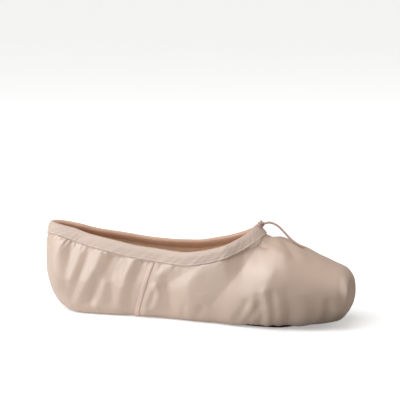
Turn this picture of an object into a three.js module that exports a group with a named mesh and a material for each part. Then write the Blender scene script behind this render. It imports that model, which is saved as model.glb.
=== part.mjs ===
// A satin pointe shoe, empty and standing on its sole. Millimetres, +X to the toe, +Z up.
// The origin is on the floor, halfway along the shoe. The shoe is straight, so it fits either foot.

import * as THREE from 'three';
import { LoftGeometry } from 'three/addons/geometries/LoftGeometry.js';
import { mergeVertices } from 'three/addons/utils/BufferGeometryUtils.js';

// Sizes of the last, over the satin
const LENGTH = 236;
const BALL_WIDTH = 76;
const THROAT_HEIGHT = 71;
const TOE_SPRING = 6;
const ARCH_RISE = 0.6;
const PLATFORM_EDGE = 8.5; // radius of the edge round the flat of the toe
const HEEL_ROUND = 27; // length over which the heel narrows to its back

// Materials' thicknesses and the space between pieces
const CLEARANCE = 0.3;
const SOLE_THICKNESS = 2;
const SOLE_EDGE_ROUND = 0.5;
const INSOLE_THICKNESS = 1.5;
const QUARTER_WALL = 1.5; // satin, canvas and lining
const BOX_WALL = 2.8; // the toe box is stiffened with layers of paste and hessian
const BOX_START = 0.68;
const BOX_FULL = 0.84;

// Binding, the drawstring's casing, folded over the edge of the opening
const BINDING_WIDTH = 9;
const BINDING_INSIDE = 6;
const BINDING_THICKNESS = 0.9;
const BINDING_FOLD = 0.9; // how far the fold stands above the satin's edge, over its gap
const BINDING_GAP = 0.5; // between the tape and the wall that it folds over

// Outsole outline, and how far the satin is drawn in over it
const SOLE_HEEL_END = 25;
const SOLE_TOE_END = 207;
const SOLE_HEEL_ROUND = 14;
const SOLE_TOE_ROUND = 24;
const SOLE_BALL_WIDTH = 55;
const LASTING_MARGIN = 8;
const SATIN_HEIGHT = 1; // height of the satin beside the outsole
const LASTING_RISE = 4; // distance over which it rises on to the outsole
const LASTING_REST = 2.5; // how far outside the outsole's edge that rise ends
const INSOLE_GAP = 1.2; // between the insole and the wall round it
const INSOLE_TOE_ROUND = 16;

// Side seams, between the vamp and the quarters
const SEAM_WIDTH = 3;
const SEAM_THICKNESS = 0.6;
const SEAM_TOP_AT = 0.386;
const SEAM_FOOT_AT = 0.333;
const SEAM_FOOT_HEIGHT = 4;
const SEAM_CROWN = 0.7; // width of its top, as a share of its width
const SEAM_STATIONS = 12;

// Drawstring and its knot
const CORD_DIAMETER = 1.8;
const CORD_SIDES = 8;
const KNOT_WIDTH = 5;
const KNOT_HEIGHT = 3.6;
const KNOT_DROP = 0.35; // how far down the binding's first row the knot sits, as a share of that row

// How finely the pieces are faceted
const COLUMNS = 84; // round the shoe
const ROWS = 20; // from the opening to the sole
const INSIDE_ROWS = 2; // steps down the binding's inside
const OUTSIDE_ROWS = 4; // steps down the binding's outside, more than inside
const OUTLINE_STEPS = 400; // directions tried round one side, in plan, before the columns are spaced out
const EDGE_STEPS = 400; // angles tried for the edge of the opening, over half a turn
const DENSE = 160; // points traced along a column before it is spaced out
const HALVINGS = 40; // steps by which a line is cut to its place on the surface
const TURN_WEIGHT = 14; // millimetres of spacing that a bend of one radian counts as
const SOLE_STATIONS = 34;
const KNOT_SIDES = 12;
const KNOT_RINGS = 8;

// Cross-sections of the closed last. at: share of the length from the heel. half: share of half the ball
// width. top: share of the throat height. widest: share of the section's height. flat: share of the half
// width that lies flat underneath. low, high: how square the section is below and above its widest place.
const SECTIONS = [
  { at: 0.00, half: 0.66, top: 1.000, widest: 0.36, flat: 0.66, low: 2.4, high: 1.50 },
  { at: 0.13, half: 0.68, top: 0.990, widest: 0.36, flat: 0.68, low: 2.4, high: 1.30 },
  { at: 0.25, half: 0.70, top: 1.000, widest: 0.35, flat: 0.66, low: 2.4, high: 1.45 },
  { at: 0.38, half: 0.73, top: 1.080, widest: 0.32, flat: 0.64, low: 2.4, high: 1.35 },
  { at: 0.48, half: 0.78, top: 1.120, widest: 0.30, flat: 0.64, low: 2.4, high: 1.70 },
  { at: 0.54, half: 0.83, top: 1.135, widest: 0.30, flat: 0.64, low: 2.4, high: 2.10 },
  { at: 0.62, half: 0.91, top: 1.125, widest: 0.30, flat: 0.64, low: 2.4, high: 2.10 },
  { at: 0.65, half: 0.945, top: 1.100, widest: 0.30, flat: 0.64, low: 2.4, high: 1.80 },
  { at: 0.68, half: 0.97, top: 1.025, widest: 0.31, flat: 0.64, low: 2.4, high: 1.70 },
  { at: 0.70, half: 0.985, top: 0.962, widest: 0.32, flat: 0.64, low: 2.4, high: 1.80 },
  { at: 0.727, half: 1.00, top: 0.885, widest: 0.34, flat: 0.63, low: 2.4, high: 1.95 },
  { at: 0.76, half: 1.00, top: 0.860, widest: 0.35, flat: 0.62, low: 2.4, high: 2.00 },
  { at: 0.80, half: 0.98, top: 0.825, widest: 0.36, flat: 0.61, low: 2.4, high: 2.05 },
  { at: 0.85, half: 0.92, top: 0.765, widest: 0.38, flat: 0.58, low: 2.4, high: 2.10 },
  { at: 0.90, half: 0.83, top: 0.690, widest: 0.40, flat: 0.55, low: 2.4, high: 2.20 },
  { at: 0.95, half: 0.73, top: 0.620, widest: 0.43, flat: 0.52, low: 2.5, high: 2.35 },
  { at: 1.00, half: 0.66, top: 0.560, widest: 0.46, flat: 0.50, low: 2.6, high: 2.50 },
];

// The line of the bottom. arch: share of the arch's rise. spring: share of the toe spring.
const BOTTOM = [
  { at: 0.00, arch: 0, spring: 0 },
  { at: 0.20, arch: 0, spring: 0 },
  { at: 0.38, arch: 1, spring: 0 },
  { at: 0.56, arch: 0, spring: 0 },
  { at: 0.79, arch: 0, spring: 0 },
  { at: 0.86, arch: 0, spring: 0.18 },
  { at: 0.93, arch: 0, spring: 0.56 },
  { at: 1.00, arch: 0, spring: 1 },
];

// The back of the heel from the side. height: share of the throat height. back: share of the length.
const HEEL_BACK = [
  { height: 0.000, back: 0.086 },
  { height: 0.030, back: 0.062 },
  { height: 0.070, back: 0.044 },
  { height: 0.140, back: 0.028 },
  { height: 0.210, back: 0.018 },
  { height: 0.310, back: 0.009 },
  { height: 0.470, back: 0.001 },
  { height: 0.690, back: 0.000 },
  { height: 0.810, back: 0.006 },
  { height: 0.900, back: 0.015 },
  { height: 0.985, back: 0.028 },
];

// The edge of the opening from the side. height: share of the throat height.
const TOPLINE = [
  { at: 0.000, height: 0.922 },
  { at: 0.040, height: 0.907 },
  { at: 0.100, height: 0.873 },
  { at: 0.160, height: 0.824 },
  { at: 0.240, height: 0.785 },
  { at: 0.350, height: 0.735 },
  { at: 0.480, height: 0.716 },
  { at: 0.550, height: 0.750 },
  { at: 0.610, height: 0.802 },
  { at: 0.655, height: 0.868 },
  { at: 0.685, height: 0.930 },
  { at: 0.710, height: 1.040 },
];

// The outsole's outline. at: share of the sole's length. half: share of half its width at the ball.
const SOLE_OUTLINE = [
  { at: 0.00, half: 0.54 },
  { at: 0.12, half: 0.62 },
  { at: 0.28, half: 0.52 },
  { at: 0.42, half: 0.47 },
  { at: 0.56, half: 0.62 },
  { at: 0.72, half: 0.93 },
  { at: 0.84, half: 1.00 },
  { at: 1.00, half: 0.86 },
];

// The route of the drawstring's free end, from the knot over the vamp: millimetres from the heel, across
// and up.
const CORD_ROUTE = [
  [169.9, 0.5, 71.2],
  [173.1, 0.9, 72.1],
  [176.3, 1.1, 71.7],
  [179.5, 1.1, 70.2],
  [182.5, 0.8, 68.0],
  [185.3, 0.4, 65.3],
  [188.1, -0.1, 62.6],
  [191.0, -0.7, 60.3],
  [194.2, -1.4, 58.2],
  [197.5, -2.1, 56.7],
  [200.6, -2.6, 55.4],
];

const SOLE_TOP = SOLE_THICKNESS + CLEARANCE;
const HALF_BALL = BALL_WIDTH / 2;
const SPINE_HEIGHT = 0.34 * THROAT_HEIGHT; // the line inside the shoe that the columns are traced from
const SPINE_HEEL = 0.13 * LENGTH;
const SPINE_TOE = 0.60 * LENGTH;

// The value of one column of a table at a place, on a cubic that doesn't overshoot its rows.
function along(rows, place, key, value) {
  const last = rows.length - 1;
  if (value <= rows[0][place]) return rows[0][key];
  if (value >= rows[last][place]) return rows[last][key];
  const gap = (i) => rows[i + 1][place] - rows[i][place];
  const rise = (i) => (rows[i + 1][key] - rows[i][key]) / gap(i);
  const slope = (i) => {
    if (i === 0) return rise(0);
    if (i === last) return rise(last - 1);
    if (rise(i - 1) * rise(i) <= 0) return 0;
    const before = 2 * gap(i) + gap(i - 1);
    const after = gap(i) + 2 * gap(i - 1);
    return (before + after) / (before / rise(i - 1) + after / rise(i));
  };
  let i = 0;
  while (value > rows[i + 1][place]) i += 1;
  const t = (value - rows[i][place]) / gap(i);
  return rows[i][key] * (1 + 2 * t) * (1 - t) ** 2 + rows[i + 1][key] * (3 - 2 * t) * t ** 2
    + slope(i) * gap(i) * t * (1 - t) ** 2 + slope(i + 1) * gap(i) * (t - 1) * t ** 2;
}

// Lengths along the shoe run from the back of the heel until place() moves them to the part's frame.
const section = (key, x) => along(SECTIONS, 'at', key, x / LENGTH);

function bottomHeight(x) {
  const at = x / LENGTH;
  return ARCH_RISE * along(BOTTOM, 'at', 'arch', at) + TOE_SPRING * along(BOTTOM, 'at', 'spring', at);
}

const toplineHeight = (x) => THROAT_HEIGHT * along(TOPLINE, 'at', 'height', x / LENGTH);

// How far the satin's underside stands above the line of the bottom, where it is lasted over the outsole.
function satinHeight(x, y) {
  const outside = reach((d) => Math.abs(y) >= soleHalf(x, -d), 2 * (LASTING_REST + LASTING_RISE));
  const over = 1 - THREE.MathUtils.smoothstep(outside, LASTING_REST, LASTING_REST + LASTING_RISE);
  return THREE.MathUtils.lerp(SATIN_HEIGHT, SOLE_TOP, over);
}

// Half of the last's width at a length and a height, or -1 outside it.
function halfWidth(x, z) {
  if (x >= LENGTH) return -1;
  const pastEdge = Math.max(0, x - (LENGTH - PLATFORM_EDGE));
  const inset = PLATFORM_EDGE - Math.sqrt(PLATFORM_EDGE ** 2 - pastEdge ** 2);
  const low = bottomHeight(x) + SATIN_HEIGHT + inset;
  const high = THROAT_HEIGHT * section('top', x) - inset;
  const half = HALF_BALL * section('half', x) - inset;
  if (z < low || z > high) return -1;
  const middle = low + section('widest', x) * (high - low);
  const below = z < middle;
  const power = section(below ? 'low' : 'high', x);
  const flat = below ? section('flat', x) : 0;
  const share = below ? (middle - z) / (middle - low) : (z - middle) / (high - middle);
  const side = flat + (1 - flat) * (1 - share ** power) ** (1 / power);
  const heelBack = LENGTH * along(HEEL_BACK, 'height', 'back', z / THROAT_HEIGHT);
  const fromBack = (x - heelBack) / (HEEL_ROUND * (1 + side) / 2);
  if (fromBack <= 0) return -1;
  const heel = fromBack < 1 ? Math.sqrt(1 - (1 - fromBack) ** 2) : 1;
  return heel * half * side;
}

// Half the width of a sole whose edge lies inset from the outsole's own.
function soleHalf(x, inset) {
  const start = SOLE_HEEL_END + inset;
  const end = SOLE_TOE_END - inset;
  if (x <= start || x >= end) return 0;
  const at = (x - SOLE_HEEL_END) / (SOLE_TOE_END - SOLE_HEEL_END);
  const half = SOLE_BALL_WIDTH / 2 * along(SOLE_OUTLINE, 'at', 'half', at) - inset;
  const heel = Math.min(1, (x - start) / SOLE_HEEL_ROUND);
  const toe = Math.min(1, (end - x) / SOLE_TOE_ROUND);
  return half * Math.sqrt(1 - (1 - heel) ** 2) * Math.sqrt(1 - (1 - toe) ** 2);
}

// How far along a line from a start, where it is inside, a shape goes on.
function reach(inside, farthest) {
  let near = 0;
  let far = farthest;
  for (let i = 0; i < HALVINGS; i += 1) {
    const middle = (near + far) / 2;
    if (inside(middle)) near = middle; else far = middle;
  }
  return near;
}

// The feet of the columns of one side, close together: their place on the spine and their direction in plan.
const outline = [];
for (let i = 0; i <= OUTLINE_STEPS; i += 1) {
  const fan = (angle, x) => {
    const away = new THREE.Vector2(-Math.cos(angle), Math.sin(angle));
    const r = reach((d) => away.y * d < halfWidth(x + away.x * d, SPINE_HEIGHT), LENGTH);
    return { x, away, point: new THREE.Vector2(x + away.x * r, away.y * r) };
  };
  const t = 3 * i / OUTLINE_STEPS;
  if (t < 1) outline.push(fan(t * Math.PI / 2, SPINE_HEEL));
  else if (t < 2) outline.push(fan(Math.PI / 2, SPINE_HEEL + (t - 1) * (SPINE_TOE - SPINE_HEEL)));
  else outline.push(fan(Math.PI / 2 * (t - 1), SPINE_TOE));
}

// Spreads points evenly along a line of them, a bend counting as extra length.
function spaced(points, count, turnWeight) {
  const length = [0];
  for (let i = 1; i < points.length; i += 1) {
    const step = points[i].clone().sub(points[i - 1]);
    const next = i + 1 < points.length ? points[i + 1].clone().sub(points[i]) : step;
    length.push(length[i - 1] + step.length() + turnWeight * step.angleTo(next));
  }
  const made = [];
  for (let k = 0; k < count; k += 1) {
    const wanted = length[length.length - 1] * k / (count - 1);
    let i = 1;
    while (i < points.length - 1 && length[i] < wanted) i += 1;
    const t = THREE.MathUtils.clamp((wanted - length[i - 1]) / (length[i] - length[i - 1]), 0, 1);
    made.push({ from: i - 1, t, point: points[i - 1].clone().lerp(points[i], t) });
  }
  return made;
}

// A dense column of the last's surface, from the edge of the opening down and under to the edge beneath.
function traceColumn({ x, away }) {
  const hit = (angle) => {
    const out = Math.cos(angle);
    const up = Math.sin(angle);
    const at = (r) => new THREE.Vector3(x + away.x * out * r, away.y * out * r, SPINE_HEIGHT + up * r);
    const r = reach((d) => {
      const p = at(d);
      return Math.abs(p.y) < halfWidth(p.x, p.z);
    }, LENGTH);
    return at(r);
  };
  const step = Math.PI / EDGE_STEPS;
  let top = Math.PI / 2;
  while (top > 0) {
    const p = hit(top);
    if (p.z <= toplineHeight(p.x)) break;
    top -= step;
  }
  const last = top + step;
  top = last - reach((d) => {
    const p = hit(last - d);
    return p.z > toplineHeight(p.x);
  }, step);
  const start = hit(top);
  const end = -Math.PI / 2;
  const points = [start];
  for (let i = 1; i < DENSE; i += 1) {
    let p = hit(top + (end - top) * i / DENSE);
    const underneath = p.z < SPINE_HEIGHT / 2;
    const reached = underneath && Math.abs(p.y) < soleHalf(p.x, LASTING_MARGIN);
    if (reached) {
      const before = points[points.length - 1];
      const t = reach((d) => {
        const q = before.clone().lerp(p, d);
        return Math.abs(q.y) > soleHalf(q.x, LASTING_MARGIN);
      }, 1);
      p = before.clone().lerp(p, t);
    }
    if (underneath) p.z = bottomHeight(p.x) + Math.max(p.z - bottomHeight(p.x), satinHeight(p.x, p.y));
    points.push(p);
    if (reached) break;
  }
  return points;
}

// The columns of one side, from the middle of the heel to the middle of the toe.
const perSide = COLUMNS / 2;
const plan = outline.map(({ point }) => new THREE.Vector3(point.x, point.y, 0));
const around = spaced(plan, perSide + 1, TURN_WEIGHT);
const oneSide = around.map(({ from, t }) => {
  const x = THREE.MathUtils.lerp(outline[from].x, outline[from + 1].x, t);
  const away = outline[from].away.clone().lerp(outline[from + 1].away, t).normalize();
  return traceColumn({ x, away });
});
const mirrored = (points) => points.map((p) => new THREE.Vector3(p.x, -p.y, p.z));
const columns = [...oneSide.map(mirrored), ...oneSide.slice(1, -1).reverse()];

// The surface at rows of each column: its points and the way out of it.
function skin(lines) {
  const normal = (i, j) => {
    const left = lines[(i + lines.length - 1) % lines.length][j];
    const right = lines[(i + 1) % lines.length][j];
    const up = lines[i][Math.max(0, j - 1)];
    const down = lines[i][Math.min(lines[i].length - 1, j + 1)];
    return right.clone().sub(left).cross(up.clone().sub(down)).normalize();
  };
  return lines.map((line, i) => line.map((point, j) => ({ point, out: normal(i, j) })));
}

// A point of the skin moved out from it.
const moved = ({ point, out }, distance) => point.clone().addScaledVector(out, distance);

function wallThickness(x) {
  const t = THREE.MathUtils.smoothstep(x / LENGTH, BOX_START, BOX_FULL);
  return THREE.MathUtils.lerp(QUARTER_WALL, BOX_WALL, t);
}

// A closed solid in the part's frame, with its repeated vertices merged and its collapsed faces left out.
function solid(geometry) {
  const plain = new THREE.BufferGeometry().copy(geometry);
  plain.deleteAttribute('normal');
  plain.deleteAttribute('uv');
  const merged = mergeVertices(plain, 1e-4);
  const index = [...merged.index.array];
  const kept = [];
  for (let i = 0; i < index.length; i += 3) {
    const [a, b, c] = index.slice(i, i + 3);
    if (a !== b && b !== c && a !== c) kept.push(a, b, c);
  }
  merged.setIndex(kept);
  return merged;
}

const place = (geometry) => solid(geometry).translate(-LENGTH / 2, 0, 0);

const satin = new THREE.MeshStandardMaterial({ color: 0xd9bfae, roughness: 0.38, metalness: 0 });
const tape = new THREE.MeshStandardMaterial({ color: 0xe0c8ba, roughness: 0.5, metalness: 0 });
const leather = new THREE.MeshStandardMaterial({ color: 0x3a2f2a, roughness: 0.75, metalness: 0 });
const canvas = new THREE.MeshStandardMaterial({ color: 0xd8c3a4, roughness: 0.9, metalness: 0 });
const cotton = new THREE.MeshStandardMaterial({ color: 0xcaa99c, roughness: 0.85, metalness: 0 });

const shoe = new THREE.Group();

function add(name, geometry, material) {
  const mesh = new THREE.Mesh(place(geometry), material);
  mesh.name = name;
  shoe.add(mesh);
}

// Splits a line of points in two at a distance along it.
function split(points, distance) {
  let reached = 0;
  let i = 0;
  while (i < points.length - 2 && reached + points[i].distanceTo(points[i + 1]) < distance) {
    reached += points[i].distanceTo(points[i + 1]);
    i += 1;
  }
  const t = Math.min(1, (distance - reached) / points[i].distanceTo(points[i + 1]));
  const between = points[i].clone().lerp(points[i + 1], t);
  return [[...points.slice(0, i + 1), between], [between, ...points.slice(i + 1)]];
}

// The skin's rows: the first ones lie under the binding's two legs, so that its facets match the wall's.
const surface = skin(columns.map((line) => {
  const [inside, rest] = split(line, BINDING_INSIDE);
  const [outside, side] = split(rest, BINDING_WIDTH - BINDING_INSIDE);
  return [
    ...spaced(inside, INSIDE_ROWS + 1, 0).slice(0, -1),
    ...spaced(outside, OUTSIDE_ROWS - INSIDE_ROWS + 1, 0).slice(0, -1),
    ...spaced(side, ROWS - OUTSIDE_ROWS, TURN_WEIGHT),
  ].map(({ point }) => point);
}));

// Upper: one hollow wall, open at the foot's opening and underneath.
function makeUpper() {
  const rings = surface.map((line) => [
    ...line.map(({ point }) => point),
    ...line.map((s) => moved(s, -wallThickness(s.point.x))).reverse(),
  ]);
  return new LoftGeometry([...rings, rings[0]]);
}

// Binding: a tape folded over the edge of the opening, wide outside and narrow inside.
function makeBinding() {
  const rings = surface.map((line) => {
    const edge = line[0];
    const up = edge.point.clone().sub(line[1].point).normalize();
    const wall = wallThickness(edge.point.x);
    const outside = BINDING_GAP + BINDING_THICKNESS;
    const over = BINDING_GAP + BINDING_FOLD;
    const raised = (distance, height) => moved(edge, distance).addScaledVector(up, height);
    const outsideLeg = (distance) => line.slice(1, OUTSIDE_ROWS + 1).map((s) => moved(s, distance));
    const insideLeg = (distance) => line.slice(1, INSIDE_ROWS + 1).map((s) => moved(s, -wall - distance));
    return [
      raised(outside, over / 2),
      ...outsideLeg(outside),
      ...outsideLeg(BINDING_GAP).reverse(),
      raised(BINDING_GAP, BINDING_GAP),
      raised(-wall - BINDING_GAP, BINDING_GAP),
      ...insideLeg(BINDING_GAP),
      ...insideLeg(outside).reverse(),
      raised(-wall - outside, over / 2),
      raised(-wall / 2, over),
    ];
  });
  return new LoftGeometry([...rings, rings[0]]);
}

// A plate that follows the line of the bottom, lifted off it, with a half width for each place.
function makePlate(start, end, half, lift, thickness, edge) {
  const sections = [];
  for (let i = 0; i <= SOLE_STATIONS; i += 1) {
    const x = start + (end - start) * (1 - Math.cos(Math.PI * i / SOLE_STATIONS)) / 2;
    const y = Math.max(half(x), 2 * edge);
    const low = bottomHeight(x) + lift(x);
    const high = low + thickness;
    const side = [[y - edge, low], [y, low + edge], [y, high - edge], [y - edge, high]];
    sections.push([
      ...side.map(([w, z]) => new THREE.Vector3(x, w, z)),
      ...side.reverse().map(([w, z]) => new THREE.Vector3(x, -w, z)),
    ]);
  }
  return new LoftGeometry(sections, { capStart: true, capEnd: true });
}

function makeOutsole() {
  const half = (x) => soleHalf(x, 0);
  const lift = () => 0;
  return makePlate(SOLE_HEEL_END, SOLE_TOE_END, half, lift, SOLE_THICKNESS, SOLE_EDGE_ROUND);
}

// Insole: it lies on the drawn-in satin and fills the bottom of the shoe, short of its walls.
function makeInsole() {
  const lift = (x) => SOLE_TOP + wallThickness(x) + CLEARANCE;
  const end = LENGTH - PLATFORM_EDGE - BOX_WALL - INSOLE_GAP;
  const half = (x) => {
    const toe = Math.min(1, (end - x) / INSOLE_TOE_ROUND);
    const wide = halfWidth(x, bottomHeight(x) + SOLE_TOP) - wallThickness(x) - INSOLE_GAP;
    return wide * Math.sqrt(1 - (1 - toe) ** 2);
  };
  const start = SPINE_HEEL - reach((d) => half(SPINE_HEEL - d) > 0, SPINE_HEEL);
  return makePlate(start, end, half, lift, INSOLE_THICKNESS, SOLE_EDGE_ROUND);
}

// Side seam: a strip on the satin, from the binding down to the sole, leaning forward at its top.
function makeSeam(side) {
  const topHeight = (x) => toplineHeight(x) - BINDING_WIDTH - CLEARANCE;
  const top = topHeight(SEAM_TOP_AT * LENGTH);
  const on = (x, z) => new THREE.Vector3(x, side * halfWidth(x, z), z);
  const sections = [];
  for (let i = 0; i <= SEAM_STATIONS; i += 1) {
    const t = i / SEAM_STATIONS;
    const x = LENGTH * THREE.MathUtils.lerp(SEAM_FOOT_AT, SEAM_TOP_AT, t);
    const z = THREE.MathUtils.lerp(SEAM_FOOT_HEIGHT, top, t);
    const corner = (across, distance) => {
      const p = on(x + across, z);
      const along = on(x + across + 1, z).sub(on(x + across - 1, z));
      const up = on(x + across, z + 1).sub(on(x + across, z - 1));
      return p.addScaledVector(along.cross(up).multiplyScalar(-side).normalize(), distance);
    };
    const half = SEAM_WIDTH / 2;
    const ring = [
      corner(-half, CLEARANCE),
      corner(half, CLEARANCE),
      corner(half * SEAM_CROWN, CLEARANCE + SEAM_THICKNESS),
      corner(-half * SEAM_CROWN, CLEARANCE + SEAM_THICKNESS),
    ];
    sections.push(side < 0 ? ring.reverse() : ring);
  }
  return new LoftGeometry(sections, { capStart: true, capEnd: true });
}

// Knot: a small tight lump of the cord, in front of the top of the throat.
function makeKnot() {
  const [edge, next] = surface[perSide];
  const out = edge.out.clone().lerp(next.out, KNOT_DROP).normalize();
  const seat = edge.point.clone().lerp(next.point, KNOT_DROP);
  const centre = seat.addScaledVector(out, BINDING_GAP + BINDING_THICKNESS + CLEARANCE + KNOT_HEIGHT / 2);
  return new THREE.SphereGeometry(0.5, KNOT_SIDES, KNOT_RINGS)
    .scale(KNOT_WIDTH, KNOT_HEIGHT, KNOT_WIDTH)
    .applyQuaternion(new THREE.Quaternion().setFromUnitVectors(new THREE.Vector3(0, 1, 0), out))
    .translate(centre.x, centre.y, centre.z);
}

// Free end of the drawstring: a round cord along its route.
function makeCord(route) {
  const path = new THREE.CatmullRomCurve3(route.map((p) => new THREE.Vector3(...p)));
  const round = Array.from({ length: CORD_SIDES }, (_, i) => {
    const angle = 2 * Math.PI * i / CORD_SIDES;
    return new THREE.Vector2(Math.cos(angle), Math.sin(angle)).multiplyScalar(CORD_DIAMETER / 2);
  });
  const steps = Math.round(path.getLength() / (2 * CORD_DIAMETER));
  return new THREE.ExtrudeGeometry(new THREE.Shape(round), { steps, extrudePath: path });
}

add('upper', makeUpper(), satin);
add('binding', makeBinding(), tape);
add('outsole', makeOutsole(), leather);
add('insole', makeInsole(), canvas);
add('seam_near', makeSeam(-1), satin);
add('seam_far', makeSeam(1), satin);
add('knot', makeKnot(), cotton);
add('drawstring_end', makeCord(CORD_ROUTE), cotton);

export default shoe;
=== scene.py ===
"""A satin pointe shoe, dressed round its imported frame."""

import math

import bmesh
import bpy
import numpy as np
from mathutils import Matrix, Vector


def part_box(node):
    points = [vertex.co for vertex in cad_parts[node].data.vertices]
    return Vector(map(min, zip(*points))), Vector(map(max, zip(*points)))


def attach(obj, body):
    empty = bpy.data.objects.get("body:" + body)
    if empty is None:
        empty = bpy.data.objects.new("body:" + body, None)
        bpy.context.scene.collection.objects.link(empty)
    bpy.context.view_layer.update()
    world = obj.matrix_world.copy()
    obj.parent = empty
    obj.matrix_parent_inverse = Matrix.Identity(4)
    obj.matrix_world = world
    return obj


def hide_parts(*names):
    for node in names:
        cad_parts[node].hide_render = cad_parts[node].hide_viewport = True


bl_info = {
    "name": "Pointe Shoe",
    "version": (1, 0, 0),
    "blender": (4, 5, 0),
    "location": "3D View > Sidebar > Pointe Shoe",
    "description": "Dresses a pointe shoe's frame in satin, tape, leather and cord",
    "category": "Add Mesh",
}

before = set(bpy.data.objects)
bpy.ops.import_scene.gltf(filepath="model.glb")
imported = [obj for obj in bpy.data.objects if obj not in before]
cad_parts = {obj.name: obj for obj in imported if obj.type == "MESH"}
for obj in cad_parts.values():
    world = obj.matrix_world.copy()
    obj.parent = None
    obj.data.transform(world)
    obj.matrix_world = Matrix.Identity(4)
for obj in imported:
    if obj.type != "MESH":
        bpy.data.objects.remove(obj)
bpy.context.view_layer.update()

MM = 0.001

# Sizes of the last over the satin, in millimetres, x from the back of the heel
UPPER_BACK, UPPER_FRONT = (corner.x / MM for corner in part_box("upper"))
LENGTH = UPPER_FRONT - UPPER_BACK
BALL_WIDTH = 76
THROAT_HEIGHT = 71
TOE_SPRING = 6
ARCH_RISE = 0.6
PLATFORM_EDGE = 8.5
HEEL_ROUND = 27
SATIN_HEIGHT = 1
SOLE_TOP = 2.3
SOLE_THICKNESS = 2.0
INSOLE_THICKNESS = 1.5
SOLE_HEEL_END = 25
SOLE_TOE_END = 207
SOLE_HEEL_ROUND = 14
SOLE_TOE_ROUND = 24
SOLE_BALL_WIDTH = 55
LASTING_MARGIN = 8
LASTING_RISE = 4
LASTING_REST = 2.5
QUARTER_WALL = 1.5
BOX_WALL = 2.8
BOX_START = 0.68
BOX_FULL = 0.84
SPINE_HEIGHT = 0.34 * THROAT_HEIGHT
SPINE_HEEL = 0.13 * LENGTH
SPINE_TOE = 0.60 * LENGTH

# How finely the last is traced
COLUMNS = 620
OUTLINE_STEPS = 600
SCAN_STEPS = 120
DENSE = 300
HALVINGS = 28
TURN_WEIGHT = 14


class Table:
    """A short table of rows, read between them on a cubic that doesn't overshoot."""

    STEPS = 1200

    def __init__(self, columns, rows):
        places = np.array([row[0] for row in rows], float)
        self.places = np.linspace(places[0], places[-1], self.STEPS)
        self.values = {}
        for k, name in enumerate(columns[1:], 1):
            values = np.array([row[k] for row in rows], float)
            self.values[name] = self.between(places, values, self.places)

    @staticmethod
    def between(places, values, wanted):
        gap = np.diff(places)
        rise = np.diff(values) / gap
        slope = np.zeros(len(places))
        slope[0], slope[-1] = rise[0], rise[-1]
        for i in range(1, len(gap)):
            if rise[i - 1] * rise[i] > 0:
                before = 2 * gap[i] + gap[i - 1]
                after = gap[i] + 2 * gap[i - 1]
                slope[i] = (before + after) / (before / rise[i - 1] + after / rise[i])
        i = np.clip(np.searchsorted(places, wanted, side="right") - 1, 0, len(gap) - 1)
        t = (wanted - places[i]) / gap[i]
        return (
            values[i] * (1 + 2 * t) * (1 - t) ** 2
            + values[i + 1] * (3 - 2 * t) * t**2
            + slope[i] * gap[i] * t * (1 - t) ** 2
            + slope[i + 1] * gap[i] * (t - 1) * t**2
        )

    def at(self, name, place):
        return np.interp(place, self.places, self.values[name])


# The last's sections, as shares of the sizes above: half the width, the top's height, where it is widest,
# how flat it is underneath, and how square it is below and above
SECTIONS = Table(
    ("at", "half", "top", "widest", "flat", "low", "high"),
    (
        (0.00, 0.66, 1.000, 0.36, 0.66, 2.4, 1.50), (0.13, 0.68, 0.990, 0.36, 0.68, 2.4, 1.30),
        (0.25, 0.70, 1.000, 0.35, 0.66, 2.4, 1.45), (0.38, 0.73, 1.080, 0.32, 0.64, 2.4, 1.35),
        (0.48, 0.78, 1.120, 0.30, 0.64, 2.4, 1.70), (0.54, 0.83, 1.135, 0.30, 0.64, 2.4, 2.10),
        (0.62, 0.91, 1.125, 0.30, 0.64, 2.4, 2.10), (0.65, 0.945, 1.100, 0.30, 0.64, 2.4, 1.80),
        (0.68, 0.97, 1.025, 0.31, 0.64, 2.4, 1.70), (0.70, 0.985, 0.962, 0.32, 0.64, 2.4, 1.80),
        (0.727, 1.00, 0.885, 0.34, 0.63, 2.4, 1.95), (0.76, 1.00, 0.860, 0.35, 0.62, 2.4, 2.00),
        (0.80, 0.98, 0.825, 0.36, 0.61, 2.4, 2.05), (0.85, 0.92, 0.765, 0.38, 0.58, 2.4, 2.10),
        (0.90, 0.83, 0.690, 0.40, 0.55, 2.4, 2.20), (0.95, 0.73, 0.620, 0.43, 0.52, 2.5, 2.35),
        (1.00, 0.66, 0.560, 0.46, 0.50, 2.6, 2.50),
    ),
)
# The line of the bottom: shares of the arch's rise and of the toe spring
BOTTOM = Table(
    ("at", "arch", "spring"),
    (
        (0.00, 0, 0), (0.20, 0, 0), (0.38, 1, 0), (0.56, 0, 0),
        (0.79, 0, 0), (0.86, 0, 0.18), (0.93, 0, 0.56), (1.00, 0, 1),
    ),
)
# The back of the heel: how far forward it lies at each height
HEEL_BACK = Table(
    ("height", "back"),
    (
        (0.000, 0.086), (0.030, 0.062), (0.070, 0.044), (0.140, 0.028), (0.210, 0.018), (0.310, 0.009),
        (0.470, 0.001), (0.690, 0.000), (0.810, 0.006), (0.900, 0.015), (0.985, 0.028),
    ),
)
# The edge of the opening
TOPLINE = Table(
    ("at", "height"),
    (
        (0.000, 0.922), (0.040, 0.907), (0.100, 0.873), (0.160, 0.824), (0.240, 0.785), (0.350, 0.735),
        (0.480, 0.716), (0.550, 0.750), (0.610, 0.802), (0.655, 0.868), (0.685, 0.930), (0.710, 1.040),
    ),
)
# The outsole's outline: half its width as a share of the widest
SOLE_OUTLINE = Table(
    ("at", "half"),
    (
        (0.00, 0.54), (0.12, 0.62), (0.28, 0.52), (0.42, 0.47),
        (0.56, 0.62), (0.72, 0.93), (0.84, 1.00), (1.00, 0.86),
    ),
)


def lengths_along(line):
    """The length along a line of places up to each of them."""
    return np.concatenate([[0], np.cumsum(np.linalg.norm(np.diff(line, axis=0), axis=1))])


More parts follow.
